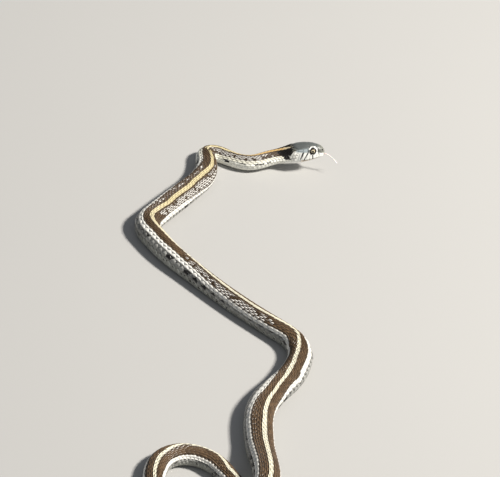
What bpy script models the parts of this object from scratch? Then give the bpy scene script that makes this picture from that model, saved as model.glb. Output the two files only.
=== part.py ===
"""A garter snake at life size, lying on the floor in open bends with its neck raised.

The backbone is a route: a start, a heading and a list of bends in plan, with a rise for the neck
and a low hump where the trunk passes over the tail. The body is a loft of flat-bellied sections
along that route, parted into lengths. Sizes are in millimetres and the meshes in metres, +Z up.
"""

import math
from collections import namedtuple

import bmesh
import bpy
import numpy as np

MM = 0.001
SHARP_ANGLE = math.radians(40)

# Gap between neighbouring lengths
GAP = 0.3

# Route in plan: the snout, the way from snout to tail there, and the bends
TOTAL_LENGTH = 780.0
ROUTE_STEP = 0.5
SNOUT = (-26.5, 188.2)
SNOUT_HEADING = -160.9
Bend = namedtuple("Bend", "name middle span turn")
BENDS = (
    Bend("nape", 28.2, 28.5, 23.7),
    Bend("neck dip", 54.2, 24, -52.3),
    Bend("first bend", 79.1, 22.4, 118.9),
    Bend("easing after the first", 103.4, 44, -39.3),
    Bend("second bend", 182.9, 23.1, 65.9),
    Bend("easing after the second", 209.8, 31.6, 14.4),
    Bend("long reach", 267.2, 66, 7.7),
    Bend("third bend", 314, 34, -69.3),
    Bend("easing after the third", 340.7, 40, -21.9),
    Bend("midbody", 382.9, 50, 36.7),
    Bend("turning back", 480.3, 80, -95.8),
    Bend("turning up", 531.1, 72, -102.2),
    Bend("arch rise", 570, 30, -56.2),
    Bend("arch fall", 592.8, 36, -68.4),
    Bend("tail sweep", 701, 120, 50),
)

# Height of the belly over the floor: the raised neck, and the hump over the tail
NECK_FOOT = 81.3
NECK_RISE = 0.00173
HEAD_BACK = 19.3
HUMP_PLACE = 464.5
HUMP_FLAT = 8.0
HUMP_RAMP = 45.0
HUMP_HEIGHT = 10.0

# The head leans over to its left, and the lean is gone where the neck meets the floor
HEAD_LEAN = 8.0
LEAN_FROM = 22.0
LEAN_SPAN = 34.0

# Girth along the backbone: place, then full width or a height over the belly line
WIDTH = (
    (0, 6.6), (4, 8.1), (8, 10.6), (12, 12.5), (16, 13.8), (20, 13.8), (23, 12.6), (26, 11.2),
    (31, 10.3), (60, 10.5), (80, 12.6), (95, 14.2), (115, 15.1), (150, 16.2), (200, 15.4),
    (250, 13.4), (300, 13.8), (345, 15.9), (400, 16.9), (450, 15.3), (500, 13.6), (550, 12.4),
    (578, 12.9), (600, 12.2), (612, 10.9), (640, 9.5), (700, 6.2), (750, 3.2), (780, 1.0),
)
TOP = (
    (0, 8.9), (4, 10.1), (8, 11.1), (12, 11.4), (16, 11.1), (20, 10.5), (25, 9.3), (31, 8.6),
    (60, 8.6), (80, 9.6), (95, 10.5), (115, 11.5), (150, 12.3), (200, 12.0), (250, 10.7),
    (300, 11.0), (345, 12.4), (400, 13.1), (450, 11.9), (500, 10.7), (550, 9.8), (600, 9.7),
    (612, 8.9), (640, 8.0), (700, 5.5), (750, 2.9), (780, 0.9),
)
LIP = (
    (0, 4.1), (4, 3.6), (8, 3.0), (12, 2.7), (16, 3.0), (20, 3.9), (25, 3.9), (60, 3.6),
    (115, 4.8), (200, 5.0), (250, 4.5), (400, 5.5), (450, 5.0), (600, 4.1), (700, 2.3), (780, 0.4),
)
CHIN = ((0, 3.1), (4, 2.5), (8, 1.5), (12, 0.4), (16, -0.7), (20, -1.4), (25, -1.4), (32, -0.6))
CROWN_POWER = ((0, 2.3), (8, 3.0), (16, 2.7), (31, 2.1))
BELLY_SINK = 0.07
BELLY_POWER = 2.3

# Sides of a section, and the longest step between two of them
RING_SIDES = 20
HEAD_SIDES = 28
LONG_STEP = 5.0
TURN_STEP = 9.0

# Snout, jaws and mouth
SNOUT_ROUND = 4.0
SNOUT_POWER = 2.3
SNOUT_RINGS = 6
SNOUT_FLARE = 0.8
HEAD_STEP = 1.2
HEAD_END = 25.0
MOUTH_CORNER = 15.6
CORNER_DEPTH = 0.2
JAW_SETBACK = 0.9
LIP_OVERLAP = 0.35

# Eyes: place, side and height of the centre, and half sizes along, across and up
EYE_PLACE = 8.4
EYE_SIDE = 3.65
EYE_HEIGHT = 8.0
EYE_SIZE = (1.95, 1.75, 1.75)
NOSTRIL_PLACE = 1.9
NOSTRIL_OVER_LIP = 3.4
NOSTRIL_RADIUS = 0.5
NOSTRIL_SEGMENTS = 10
NOSTRIL_OUT = 0.2
EYE_SEGMENTS = 20
SOCKET_SEGMENTS = 24

# Shields of the head, raised as plates
PLATE_RISE = 0.28
PLATE_CROWN = 0.08
PLATE_BEVEL = 0.2
PLATE_ROOT = 0.6
PLATE_EDGE = 1.3
CROWN_SHIELDS = {
    "internasal": ((1.1, 0.15), (1.4, 1.5), (2.8, 1.9), (3.0, 0.15)),
    "prefrontal": ((3.3, 0.15), (3.1, 2.1), (4.0, 3.1), (5.7, 3.3), (5.5, 0.15)),
    "supraocular": ((6.0, 1.95), (6.1, 3.4), (8.4, 4.1), (10.8, 4.1), (10.9, 2.2), (9.8, 1.65)),
    "parietal": ((11.8, 0.15), (11.2, 1.5), (11.3, 4.1), (14.8, 4.8), (18.4, 2.9), (19.3, 0.15)),
}
FRONTAL = ((5.8, 1.6), (9.6, 1.35), (11.4, 0.0), (9.6, -1.35), (5.8, -1.6))
CHEEK_SHIELDS = {
    "nasal": ((1.0, 1.7), (1.1, 3.9), (2.9, 4.8), (3.0, 2.1)),
    "loreal": ((3.3, 2.3), (3.2, 4.8), (4.8, 5.5), (4.9, 2.6)),
    "preocular": ((5.2, 2.7), (5.1, 5.5), (6.1, 6.0), (6.1, 2.9)),
    "upper postocular": ((10.9, 4.7), (10.9, 6.0), (11.9, 6.0), (12.1, 4.7)),
    "lower postocular": ((10.7, 3.2), (10.9, 4.4), (12.1, 4.4), (12.2, 3.2)),
    "front temporal": ((12.5, 3.5), (12.3, 6.0), (15.0, 6.0), (15.2, 3.6)),
    "rear temporal": ((15.5, 3.6), (15.3, 6.0), (17.8, 5.8), (18.1, 3.6)),
}
LABIAL_COUNT = 8
LABIAL_START = 1.1
LABIAL_GAP = 0.25
UPPER_LABIAL_TOPS = (1.4, 1.8, 2.2, 2.5, 2.5, 2.8, 3.2, 3.0)
UPPER_LABIAL_EDGE = 0.3
LOWER_LABIAL_EDGE = 0.45
LOWER_LABIAL_DEPTH = 1.3
LOWER_PLATE_RISE = 0.18

# Tongue: stem and two tines, reaching out of a notch under the snout and bending down
TONGUE_ROOT = 1.7
TONGUE_REACH = 9.6
TONGUE_FORK = 5.4
TONGUE_SLOPE = 1.0
TONGUE_BEND = 3.4
TONGUE_SPREAD = 1.8
TONGUE_HALF = (0.62, 0.34)
TONGUE_STEM_END_HALF = (0.45, 0.34)
TONGUE_TINE_HALF = (0.3, 0.306)
TONGUE_TIP_HALF = (0.18, 0.16)
TONGUE_FUSED = (0.3, 0.6)
TONGUE_SIDES = 8
TONGUE_STEPS = 12
TONGUE_NEAR = 0.05
NOTCH_HALF = 0.95
NOTCH_RISE = 0.65

# Cuts between the lengths of the body
CUTS = (
    ("neck", 69), ("trunk_1", 96), ("trunk_2", 172), ("trunk_3", 204), ("trunk_4", 296),
    ("trunk_5", 330), ("trunk_6", 416), ("trunk_7", 480), ("trunk_8", 513), ("trunk_9", 546),
    ("trunk_10", 578), ("trunk_11", 606), ("tail_1", 664), ("tail_2", 722), ("tail_3", 780),
)

# Colours, roughness
FINISHES = {
    "head_skin": ((0.27, 0.29, 0.28), 0.45),
    "jaw_skin": ((0.74, 0.72, 0.62), 0.5),
    "body_skin": ((0.20, 0.16, 0.11), 0.5),
    "eye": ((0.05, 0.04, 0.03), 0.08),
    "tongue": ((0.72, 0.58, 0.54), 0.35),
}

Section = namedtuple("Section", "half_width bottom lip top power")


def clear_scene():
    for old in list(bpy.data.objects):
        bpy.data.objects.remove(old, do_unlink=True)


def smooth(share):
    share = np.clip(share, 0.0, 1.0)
    return share * share * (3.0 - 2.0 * share)


def curve_at(table, place):
    """A smooth curve through a short table, without overshoot."""
    places = np.array([row[0] for row in table], float)
    values = np.array([row[1] for row in table], float)
    slopes = np.diff(values) / np.diff(places)
    bends = np.zeros(len(values))
    same_way = slopes[:-1] * slopes[1:] > 0
    mean = 2 * slopes[:-1] * slopes[1:] / np.where(same_way, slopes[:-1] + slopes[1:], 1.0)
    bends[1:-1] = np.where(same_way, mean, 0.0)
    bends[0] = slopes[0]
    bends[-1] = slopes[-1]
    place = min(max(place, places[0]), places[-1])
    k = min(int(np.searchsorted(places, place, side="right")) - 1, len(places) - 2)
    span = places[k + 1] - places[k]
    t = (place - places[k]) / span
    start = (1 + 2 * t) * (1 - t) ** 2 * values[k] + t * (1 - t) ** 2 * span * bends[k]
    end = t * t * (3 - 2 * t) * values[k + 1] + t * t * (t - 1) * span * bends[k + 1]
    return float(start + end)


def heading(place):
    turned = sum(bend.turn * smooth((place - bend.middle) / bend.span + 0.5) for bend in BENDS)
    return np.radians(SNOUT_HEADING + turned)


def trace_route():
    places = np.arange(0.0, TOTAL_LENGTH + ROUTE_STEP, ROUTE_STEP)
    middles = heading(places[:-1] + ROUTE_STEP / 2)
    x = SNOUT[0] + np.concatenate([[0.0], np.cumsum(ROUTE_STEP * np.cos(middles))])
    y = SNOUT[1] + np.concatenate([[0.0], np.cumsum(ROUTE_STEP * np.sin(middles))])
    return places, x, y


ROUTE = trace_route()


def lift(place):
    """Height of the belly line over the floor. The head levels off towards the snout."""
    bent = max(NECK_FOOT - max(place, HEAD_BACK), 0.0)
    ahead = max(HEAD_BACK - place, 0.0)
    neck = NECK_RISE * (bent * bent + 2 * bent * ahead - ahead * ahead)
    hump = smooth((HUMP_FLAT + HUMP_RAMP - abs(place - HUMP_PLACE)) / HUMP_RAMP)
    return neck + HUMP_HEIGHT * float(hump)


def frame_at(place):
    """Belly point, and the ways left, up and back, at a place on the route."""
    places, x, y = ROUTE
    turn = float(heading(place))
    # Ahead of the snout the line runs straight on
    ahead = min(place, 0.0)
    point = np.array([np.interp(place, places, x) + ahead * math.cos(turn),
                      np.interp(place, places, y) + ahead * math.sin(turn), lift(place)])
    slope = math.atan((lift(place + ROUTE_STEP) - lift(place - ROUTE_STEP)) / (2 * ROUTE_STEP))
    back = np.array([math.cos(turn) * math.cos(slope), math.sin(turn) * math.cos(slope),
                     math.sin(slope)])
    left = np.array([math.sin(turn), -math.cos(turn), 0.0])
    up = np.cross(back, -left)
    lean = math.radians(HEAD_LEAN) * (1 - float(smooth((place - LEAN_FROM) / LEAN_SPAN)))
    leaned_left = left * math.cos(lean) - up * math.sin(lean)
    leaned_up = up * math.cos(lean) + left * math.sin(lean)
    return point, leaned_left, leaned_up, back


def section_at(place, setback=0.0):
    """Girth at a place. The snout or, set back, the chin is rounded off in front."""
    short = 1 - min(max(place - setback, 0.0) / SNOUT_ROUND, 1.0)
    share = (1 - short**SNOUT_POWER) ** (1 / SNOUT_POWER)
    lip = curve_at(LIP, place)
    top = lip + (curve_at(TOP, place) - lip) * share**SNOUT_FLARE
    low = curve_at(CHIN, place) if place < CHIN[-1][0] else -BELLY_SINK * curve_at(TOP, place)
    bottom = lip - (lip - low) * share**SNOUT_FLARE
    return Section(curve_at(WIDTH, place) / 2 * share, bottom, lip, top,
                   curve_at(CROWN_POWER, place))


def on_skin(place, side, height):
    point, left, up, _ = frame_at(place)
    return point + left * side + up * height


def signed_power(value, power):
    return math.copysign(abs(value) ** power, value)


def around(section, angle):
    """Side and height at an angle: 0 at the belly, a quarter turn at the left lip."""
    power = section.power if math.cos(angle) < 0 else BELLY_POWER
    side = section.half_width * signed_power(math.sin(angle), 2 / power)
    reach = abs(math.cos(angle)) ** (2 / power)
    if math.cos(angle) < 0:
        return side, section.lip + (section.top - section.lip) * reach
    return side, section.lip - (section.lip - section.bottom) * reach


def full_ring(place, sides=RING_SIDES):
    section = section_at(place)
    floor = max(section.bottom, -lift(place))
    ring = []
    for k in range(sides):
        side, height = around(section, 2 * math.pi * k / sides)
        ring.append(on_skin(place, side, max(height, floor)))
    return ring


def upper_ring(place):
    """The head over the mouth: the crown from lip to lip, closed by a flat palate."""
    section = section_at(place)
    palate = section.lip + GAP / 2
    half = HEAD_SIDES // 2
    crown = []
    for k in range(half + 1):
        side, height = around(section, math.pi / 2 + math.pi * k / half)
        crown.append(on_skin(place, side, max(height, palate)))
    roof = []
    for k in range(1, half):
        side = section.half_width * (2 * k / half - 1)
        roof.append(on_skin(place, side, palate))
    # The full ring starts at the belly, so the palate's middle comes first
    middle = half // 2
    return roof[middle - 1:] + crown + roof[:middle - 1]


def jaw_ring(place):
    """The lower jaw: the chin from lip to lip, closed by a flat floor of the mouth."""
    section = section_at(place, JAW_SETBACK)
    share = max(section.half_width - LIP_OVERLAP, 0.02) / max(section.half_width, 0.02)
    half = HEAD_SIDES // 2
    ring = []
    for k in range(half + 1):
        side, height = around(section, -math.pi / 2 + math.pi * k / half)
        ring.append(on_skin(place, side * share, min(height, section.lip - GAP / 2)))
    return ring


def body_places(start, end):
    """Places of the sections of one length, closer where the body bends."""
    places = [start]
    while places[-1] < end:
        ahead = min(places[-1] + LONG_STEP, end)
        turned = abs(math.degrees(float(heading(ahead)) - float(heading(places[-1]))))
        climbed = abs(lift(ahead) - lift(places[-1]))
        step = LONG_STEP / max(1.0, turned / TURN_STEP, climbed)
        places.append(places[-1] + step)
    count = len(places) - 1
    share = (end - start) / (places[-1] - start)
    return [start + (places[k] - start) * share for k in range(count + 1)]


def loft(rings):
    """A closed mesh through rings of the same count, capped at both ends."""
    mesh = bmesh.new()
    rows = [[mesh.verts.new(point) for point in ring] for ring in rings]
    for near, far in zip(rows, rows[1:]):
        for k in range(len(near)):
            n = (k + 1) % len(near)
            mesh.faces.new((near[k], near[n], far[n], far[k]))
    mesh.faces.new(rows[0])
    mesh.faces.new(rows[-1][::-1])
    return mesh


def finish(name):
    """One material for each finish, shared by the pieces that have it."""
    material = bpy.data.materials.get(name)
    if material:
        return material
    colour, roughness = FINISHES[name]
    material = bpy.data.materials.new(name)
    material.use_nodes = True
    shader = material.node_tree.nodes["Principled BSDF"]
    shader.inputs["Base Color"].default_value = (*colour, 1.0)
    shader.inputs["Roughness"].default_value = roughness
    shader.inputs["Metallic"].default_value = 0.0
    return material


def add_piece(name, mesh, finish_name):
    """Turns millimetres into metres and makes the object."""
    mesh.normal_update()
    bmesh.ops.recalc_face_normals(mesh, faces=mesh.faces)
    bmesh.ops.scale(mesh, vec=(MM, MM, MM), verts=mesh.verts)
    data = bpy.data.meshes.new(name)
    mesh.to_mesh(data)
    mesh.free()
    data.materials.append(finish(finish_name))
    data.shade_smooth()
    data.set_sharp_from_angle(angle=SHARP_ANGLE)
    piece = bpy.data.objects.new(name, data)
    bpy.context.scene.collection.objects.link(piece)
    return piece


def combine(core, pieces, operation):
    """Joins pieces to a core, or cuts them out of it, in one Boolean."""
    group = bpy.data.collections.new(core.name + "_" + operation.lower())
    for piece in pieces:
        group.objects.link(piece)
    step = core.modifiers.new(operation.title(), "BOOLEAN")
    step.operation = operation
    step.operand_type = "COLLECTION"
    step.collection = group
    step.solver = "EXACT"
    graph = bpy.context.evaluated_depsgraph_get()
    result = bpy.data.meshes.new_from_object(core.evaluated_get(graph))
    core.modifiers.remove(step)
    core.data = result
    for piece in pieces:
        bpy.data.objects.remove(piece, do_unlink=True)
    bpy.data.collections.remove(group)


def keep_largest(piece):
    """Keeps the largest closed surface of a piece."""
    mesh = bmesh.new()
    mesh.from_mesh(piece.data)
    left_over = set(mesh.faces)
    shells = []
    while left_over:
        shell = {left_over.pop()}
        edge_of_search = list(shell)
        while edge_of_search:
            face = edge_of_search.pop()
            for edge in face.edges:
                for other in edge.link_faces:
                    if other in left_over:
                        left_over.discard(other)
                        shell.add(other)
                        edge_of_search.append(other)
        shells.append(shell)
    largest = max(shells, key=lambda faces: sum(face.calc_area() for face in faces))
    drop = [face for shell in shells if shell is not largest for face in shell]
    bmesh.ops.delete(mesh, geom=drop, context="FACES")
    mesh.to_mesh(piece.data)
    mesh.free()


def crown_point(place, side):
    """A point over the crown, at a distance left of the midline."""
    section = section_at(place)
    across = min(abs(side) / section.half_width, 1.0)
    reach = (1 - across**section.power) ** (1 / section.power)
    return on_skin(place, side, section.lip + (section.top - section.lip) * reach)


def cheek_point(place, over_lip, way):
    """A point on the cheek, at a height over the lip. The way is 1 at left and -1 at right."""
    section = section_at(place)
    above = min(max(over_lip, 0.0) / (section.top - section.lip), 1.0)
    reach = (1 - above**section.power) ** (1 / section.power)
    return on_skin(place, way * section.half_width * reach, section.lip + over_lip)


def chin_point(place, under_lip, way):
    """A point on the side of the lower jaw, at a depth under the lip."""
    section = section_at(place, JAW_SETBACK)
    below = min(under_lip / (section.lip - section.bottom), 1.0)
    reach = (1 - below**BELLY_POWER) ** (1 / BELLY_POWER)
    half = section.half_width - LIP_OVERLAP
    return on_skin(place, way * half * reach, section.lip - under_lip)


def raised_from_axis(point, place, rise):
    """Moves a point of the head out from the middle of its section."""
    section = section_at(place)
    axis = on_skin(place, 0.0, section.lip)
    out = point - axis
    return point + out / np.linalg.norm(out) * rise


def with_edge_points(outline):
    """The outline with points added along its long edges."""
    dense = []
    for k, corner in enumerate(outline):
        following = outline[(k + 1) % len(outline)]
        length = math.dist(corner, following)
        pieces = max(1, math.ceil(length / PLATE_EDGE))
        for step in range(pieces):
            t = step / pieces
            dense.append((corner[0] + (following[0] - corner[0]) * t,
                          corner[1] + (following[1] - corner[1]) * t))
    return dense


def plate(outline, surface, rise, name):
    """A low shield on a surface: sunk root, bevelled edge, slightly crowned top."""
    outline = with_edge_points(outline)
    centre = np.mean(np.array(outline), axis=0)
    mesh = bmesh.new()
    root = []
    rim = []
    for place, across in outline:
        away = np.array([place, across]) - centre
        inset = centre + away * (1 - PLATE_BEVEL / max(np.linalg.norm(away), PLATE_BEVEL * 2))
        point = surface(place, across)
        root.append(mesh.verts.new(raised_from_axis(point, place, -PLATE_ROOT)))
        point = surface(inset[0], inset[1])
        rim.append(mesh.verts.new(raised_from_axis(point, inset[0], rise)))
    point = surface(centre[0], centre[1])
    peak = mesh.verts.new(raised_from_axis(point, centre[0], rise + PLATE_CROWN))
    base = mesh.verts.new(raised_from_axis(point, centre[0], -PLATE_ROOT))
    for k in range(len(outline)):
        n = (k + 1) % len(outline)
        mesh.faces.new((root[k], root[n], rim[n], rim[k]))
        mesh.faces.new((rim[k], rim[n], peak))
        mesh.faces.new((root[n], root[k], base))
    return add_piece(name, mesh, "head_skin")


def head_plates():
    """The shields of the crown and cheeks, and the upper lip's."""
    plates = [plate(FRONTAL, crown_point, PLATE_RISE, "frontal")]
    for way in (1, -1):
        for name, outline in CROWN_SHIELDS.items():
            turned = tuple((place, way * side) for place, side in outline)
            plates.append(plate(turned, crown_point, PLATE_RISE, name))

        def cheek(place, over_lip, way=way):
            return cheek_point(place, over_lip, way)

        for name, outline in CHEEK_SHIELDS.items():
            plates.append(plate(outline, cheek, PLATE_RISE, name))
        for k, (start, end) in enumerate(labial_spans()):
            top = UPPER_LABIAL_TOPS[k]
            edge = UPPER_LABIAL_EDGE
            outline = ((start, edge), (start, top), (end, top), (end, edge))
            plates.append(plate(outline, cheek, PLATE_RISE, "upper labial"))
    return plates


def labial_spans():
    pitch = (MOUTH_CORNER - LABIAL_START) / LABIAL_COUNT
    for k in range(LABIAL_COUNT):
        start = LABIAL_START + pitch * k
        yield start + LABIAL_GAP / 2, start + pitch - LABIAL_GAP / 2


def jaw_plates():
    """The shields of the lower lip."""
    plates = []
    for way in (1, -1):

        def jaw_side(place, under_lip, way=way):
            return chin_point(place, under_lip, way)

        for start, end in list(labial_spans())[1:]:
            edge, depth = LOWER_LABIAL_EDGE, LOWER_LABIAL_DEPTH
            outline = ((start, edge), (start, depth), (end, depth), (end, edge))
            plates.append(plate(outline, jaw_side, LOWER_PLATE_RISE, "lower labial"))
    return plates


def egg(name, place, side, height, half_sizes, segments, finish_name):
    """An ellipsoid set square to the head."""
    centre = on_skin(place, side, height)
    _, left, up, back = frame_at(place)
    mesh = bmesh.new()
    bmesh.ops.create_uvsphere(mesh, u_segments=segments, v_segments=segments // 2, radius=1.0)
    for vert in mesh.verts:
        x, y, z = vert.co
        # The ball's poles point sideways
        vert.co = (centre + back * x * half_sizes[0] + left * z * half_sizes[1]
                   + up * y * half_sizes[2])
    return add_piece(name, mesh, finish_name)


def tongue_path(reach, way):
    """A point of the tongue: out and bending down, with the tines apart past the fork."""
    section = section_at(1.0)
    past = max(reach - TONGUE_FORK, 0.0) / (TONGUE_REACH - TONGUE_FORK)
    drop = TONGUE_SLOPE * (math.hypot(max(reach, 0.0), TONGUE_BEND) - TONGUE_BEND)
    side = way * TONGUE_SPREAD * past**1.4
    return on_skin(-reach, side, section.lip - drop)


def tongue_strand(name, start, end, way, thick, thin):
    rings = []
    for step in range(TONGUE_STEPS + 1):
        share = step / TONGUE_STEPS
        reach = start + (end - start) * share
        centre = tongue_path(reach, way)
        along = tongue_path(reach + TONGUE_NEAR, way) - tongue_path(reach - TONGUE_NEAR, way)
        over = np.cross(along, frame_at(0.0)[1])
        over /= np.linalg.norm(over)
        across = np.cross(over, along)
        across /= np.linalg.norm(across)
        half = [thick[k] + (thin[k] - thick[k]) * share for k in (0, 1)]
        ring = []
        for k in range(TONGUE_SIDES):
            angle = 2 * math.pi * k / TONGUE_SIDES
            ring.append(centre + across * half[0] * math.cos(angle) + over * half[1] * math.sin(angle))
        rings.append(ring)
    return add_piece(name, loft(rings), "tongue")


def make_tongue():
    """A stem with two tines fused to it."""
    past, before = TONGUE_FUSED
    stem = tongue_strand("tongue", -TONGUE_ROOT, TONGUE_FORK + past, 0, TONGUE_HALF,
                         TONGUE_STEM_END_HALF)
    tines = []
    for way in (1, -1):
        tines.append(tongue_strand("tine", TONGUE_FORK - before, TONGUE_REACH, way,
                                   TONGUE_TINE_HALF, TONGUE_TIP_HALF))
    combine(stem, tines, "UNION")
    keep_largest(stem)
    return stem


def notch():
    """The space that the tongue passes through, cut from both jaws."""
    mesh = bmesh.new()
    bmesh.ops.create_cube(mesh, size=2.0)
    _, left, up, back = frame_at(0.0)
    section = section_at(1.0)
    middle = on_skin(-1.0, 0.0, section.lip)
    for vert in mesh.verts:
        x, y, z = vert.co
        vert.co = (middle + back * x * (TONGUE_ROOT + 1.0 + GAP) + left * y * NOTCH_HALF
                   + up * z * NOTCH_RISE)
    return add_piece("notch", mesh, "tongue")


def make_head():
    """The head from the snout to the nape, over the mouth and behind its corner."""
    cap = [SNOUT_ROUND * (1 - math.cos(math.pi / 2 * k / SNOUT_RINGS))
           for k in range(1, SNOUT_RINGS + 1)]
    wall = MOUTH_CORNER + GAP / 2
    front_count = math.ceil((wall - cap[-1]) / HEAD_STEP)
    front = [cap[-1] + (wall - cap[-1]) * k / front_count for k in range(1, front_count + 1)]
    start = wall + CORNER_DEPTH
    end = HEAD_END - GAP / 2
    rear_count = math.ceil((end - start) / HEAD_STEP)
    rear = [start + (end - start) * k / rear_count for k in range(rear_count + 1)]
    rings = [upper_ring(place) for place in cap + front]
    rings += [full_ring(place, HEAD_SIDES) for place in rear]
    head = add_piece("head", loft(rings), "head_skin")
    combine(head, head_plates(), "UNION")
    cutters = [notch()]
    for way in (1, -1):
        socket = [half + GAP for half in EYE_SIZE]
        cutters.append(egg("socket", EYE_PLACE, way * EYE_SIDE, EYE_HEIGHT, socket,
                           SOCKET_SEGMENTS, "head_skin"))
        section = section_at(NOSTRIL_PLACE)
        point = cheek_point(NOSTRIL_PLACE, NOSTRIL_OVER_LIP, way)
        side = float(np.dot(point - frame_at(NOSTRIL_PLACE)[0], frame_at(NOSTRIL_PLACE)[1]))
        half = (NOSTRIL_RADIUS, NOSTRIL_RADIUS * 2, NOSTRIL_RADIUS)
        cutters.append(egg("nostril", NOSTRIL_PLACE, side + way * NOSTRIL_OUT,
                           section.lip + NOSTRIL_OVER_LIP, half, NOSTRIL_SEGMENTS, "head_skin"))
    combine(head, cutters, "DIFFERENCE")
    keep_largest(head)
    return head


def make_lower_jaw():
    """The lower jaw, from the chin to the corner of the mouth, inset under the upper lip."""
    end = MOUTH_CORNER - GAP / 2
    cap = [JAW_SETBACK + SNOUT_ROUND * (1 - math.cos(math.pi / 2 * k / SNOUT_RINGS))
           for k in range(1, SNOUT_RINGS + 1)]
    count = math.ceil((end - cap[-1]) / HEAD_STEP)
    places = cap + [cap[-1] + (end - cap[-1]) * k / count for k in range(1, count + 1)]
    jaw = add_piece("lower_jaw", loft([jaw_ring(place) for place in places]), "jaw_skin")
    combine(jaw, jaw_plates(), "UNION")
    combine(jaw, [notch()], "DIFFERENCE")
    keep_largest(jaw)
    return jaw


def make_lengths():
    """The neck, the trunk and the tail, parted by flat cuts square to the backbone."""
    start = HEAD_END
    made = []
    for name, end in CUTS:
        last = end if end == TOTAL_LENGTH else end - GAP / 2
        places = body_places(start + GAP / 2, last)
        rings = [full_ring(place) for place in places]
        made.append(add_piece(name, loft(rings), "body_skin"))
        start = end
    return made


def main():
    clear_scene()
    pieces = [make_head(), make_lower_jaw(), make_tongue()]
    for name, way in (("eye_left", 1), ("eye_right", -1)):
        pieces.append(egg(name, EYE_PLACE, way * EYE_SIDE, EYE_HEIGHT, EYE_SIZE, EYE_SEGMENTS,
                          "eye"))
    pieces += make_lengths()
    snake = bpy.data.objects.new("garter_snake", None)
    bpy.context.scene.collection.objects.link(snake)
    for piece in pieces:
        piece.parent = snake


main()
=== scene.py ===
"""Dresses the garter snake: one skin, keeled scales, belly scutes, head shields, eyes and tongue.

The body's route and girth are repeated here from the solids, in millimetres, and every mesh is
made in metres. A place is a distance from the snout along the belly line.
"""

import logging
import math
from collections.abc import Iterator
from dataclasses import dataclass, field
from enum import Enum

import bpy
import numpy as np
from mathutils import Matrix, Vector


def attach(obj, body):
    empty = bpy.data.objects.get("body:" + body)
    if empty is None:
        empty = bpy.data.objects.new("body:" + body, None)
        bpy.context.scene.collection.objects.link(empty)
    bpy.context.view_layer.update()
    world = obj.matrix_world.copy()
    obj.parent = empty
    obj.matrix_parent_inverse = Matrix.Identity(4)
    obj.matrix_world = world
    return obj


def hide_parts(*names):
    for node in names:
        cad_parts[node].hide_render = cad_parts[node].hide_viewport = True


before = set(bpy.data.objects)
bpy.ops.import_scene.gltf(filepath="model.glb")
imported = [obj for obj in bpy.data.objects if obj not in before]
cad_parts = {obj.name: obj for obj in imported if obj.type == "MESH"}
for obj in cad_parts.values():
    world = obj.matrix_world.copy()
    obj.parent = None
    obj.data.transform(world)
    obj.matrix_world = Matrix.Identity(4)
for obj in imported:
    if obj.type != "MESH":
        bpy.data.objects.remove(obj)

MM = 0.001
LENGTH = 780.0
SEED = 19
PALE = (0.2, 0.5)

Array = np.ndarray
Edge = tuple[float, float]
Table = tuple[Edge, ...]
Triple = tuple[float, float, float]
Colour = Triple
Step = Triple
Window = tuple[float, float, float, float]
Face = tuple[int, ...]
Roots = list[tuple[float, ...]]
Layers = list[tuple[Array, Colour]]
Socket = bpy.types.NodeSocket
log = logging.getLogger("garter_snake")


def smooth(share: Array | float) -> Array:
    """Eases a share from 0 to 1."""
    share = np.clip(share, 0.0, 1.0)
    return share * share * (3.0 - 2.0 * share)


def fade(value: Array | float, start: float, end: float) -> Array:
    """Eases from 0 at start to 1 at end, whichever is greater."""
    return smooth((np.asarray(value, float) - start) / (end - start))


def fold(shares: Array) -> Array:
    """Turns shares round the head, 0 to 4, into shares from the crown to the chin, 0 to 2."""
    return np.where(shares > 2, 4 - shares, shares)


def curve_at(table: Table, places: Array | float) -> Array:
    """Reads a smooth curve through a short table, without overshoot.

    Args:
        table: rows of place and value.
        places: where to read it.

    Returns:
        The value at each place.
    """
    at, values = np.array(table, float).T
    slopes = np.diff(values) / np.diff(at)
    bends = np.zeros(len(values))
    same_way = slopes[:-1] * slopes[1:] > 0
    mean = 2 * slopes[:-1] * slopes[1:] / np.where(same_way, slopes[:-1] + slopes[1:], 1.0)
    bends[1:-1] = np.where(same_way, mean, 0.0)
    bends[0], bends[-1] = slopes[0], slopes[-1]
    x = np.clip(np.asarray(places, float), at[0], at[-1])
    k = np.minimum(np.searchsorted(at, x, side="right") - 1, len(at) - 2)
    span = at[k + 1] - at[k]
    t = (x - at[k]) / span
    start = (1 + 2 * t) * (1 - t) ** 2 * values[k] + t * (1 - t) ** 2 * span * bends[k]
    end = t * t * (3 - 2 * t) * values[k + 1] + t * t * (t - 1) * span * bends[k + 1]
    return start + end


@dataclass(frozen=True)
class Bend:
    """A turn of the backbone in plan: its middle place, its span and its angle in degrees."""

    name: str
    middle: float
    span: float
    turn: float


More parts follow.
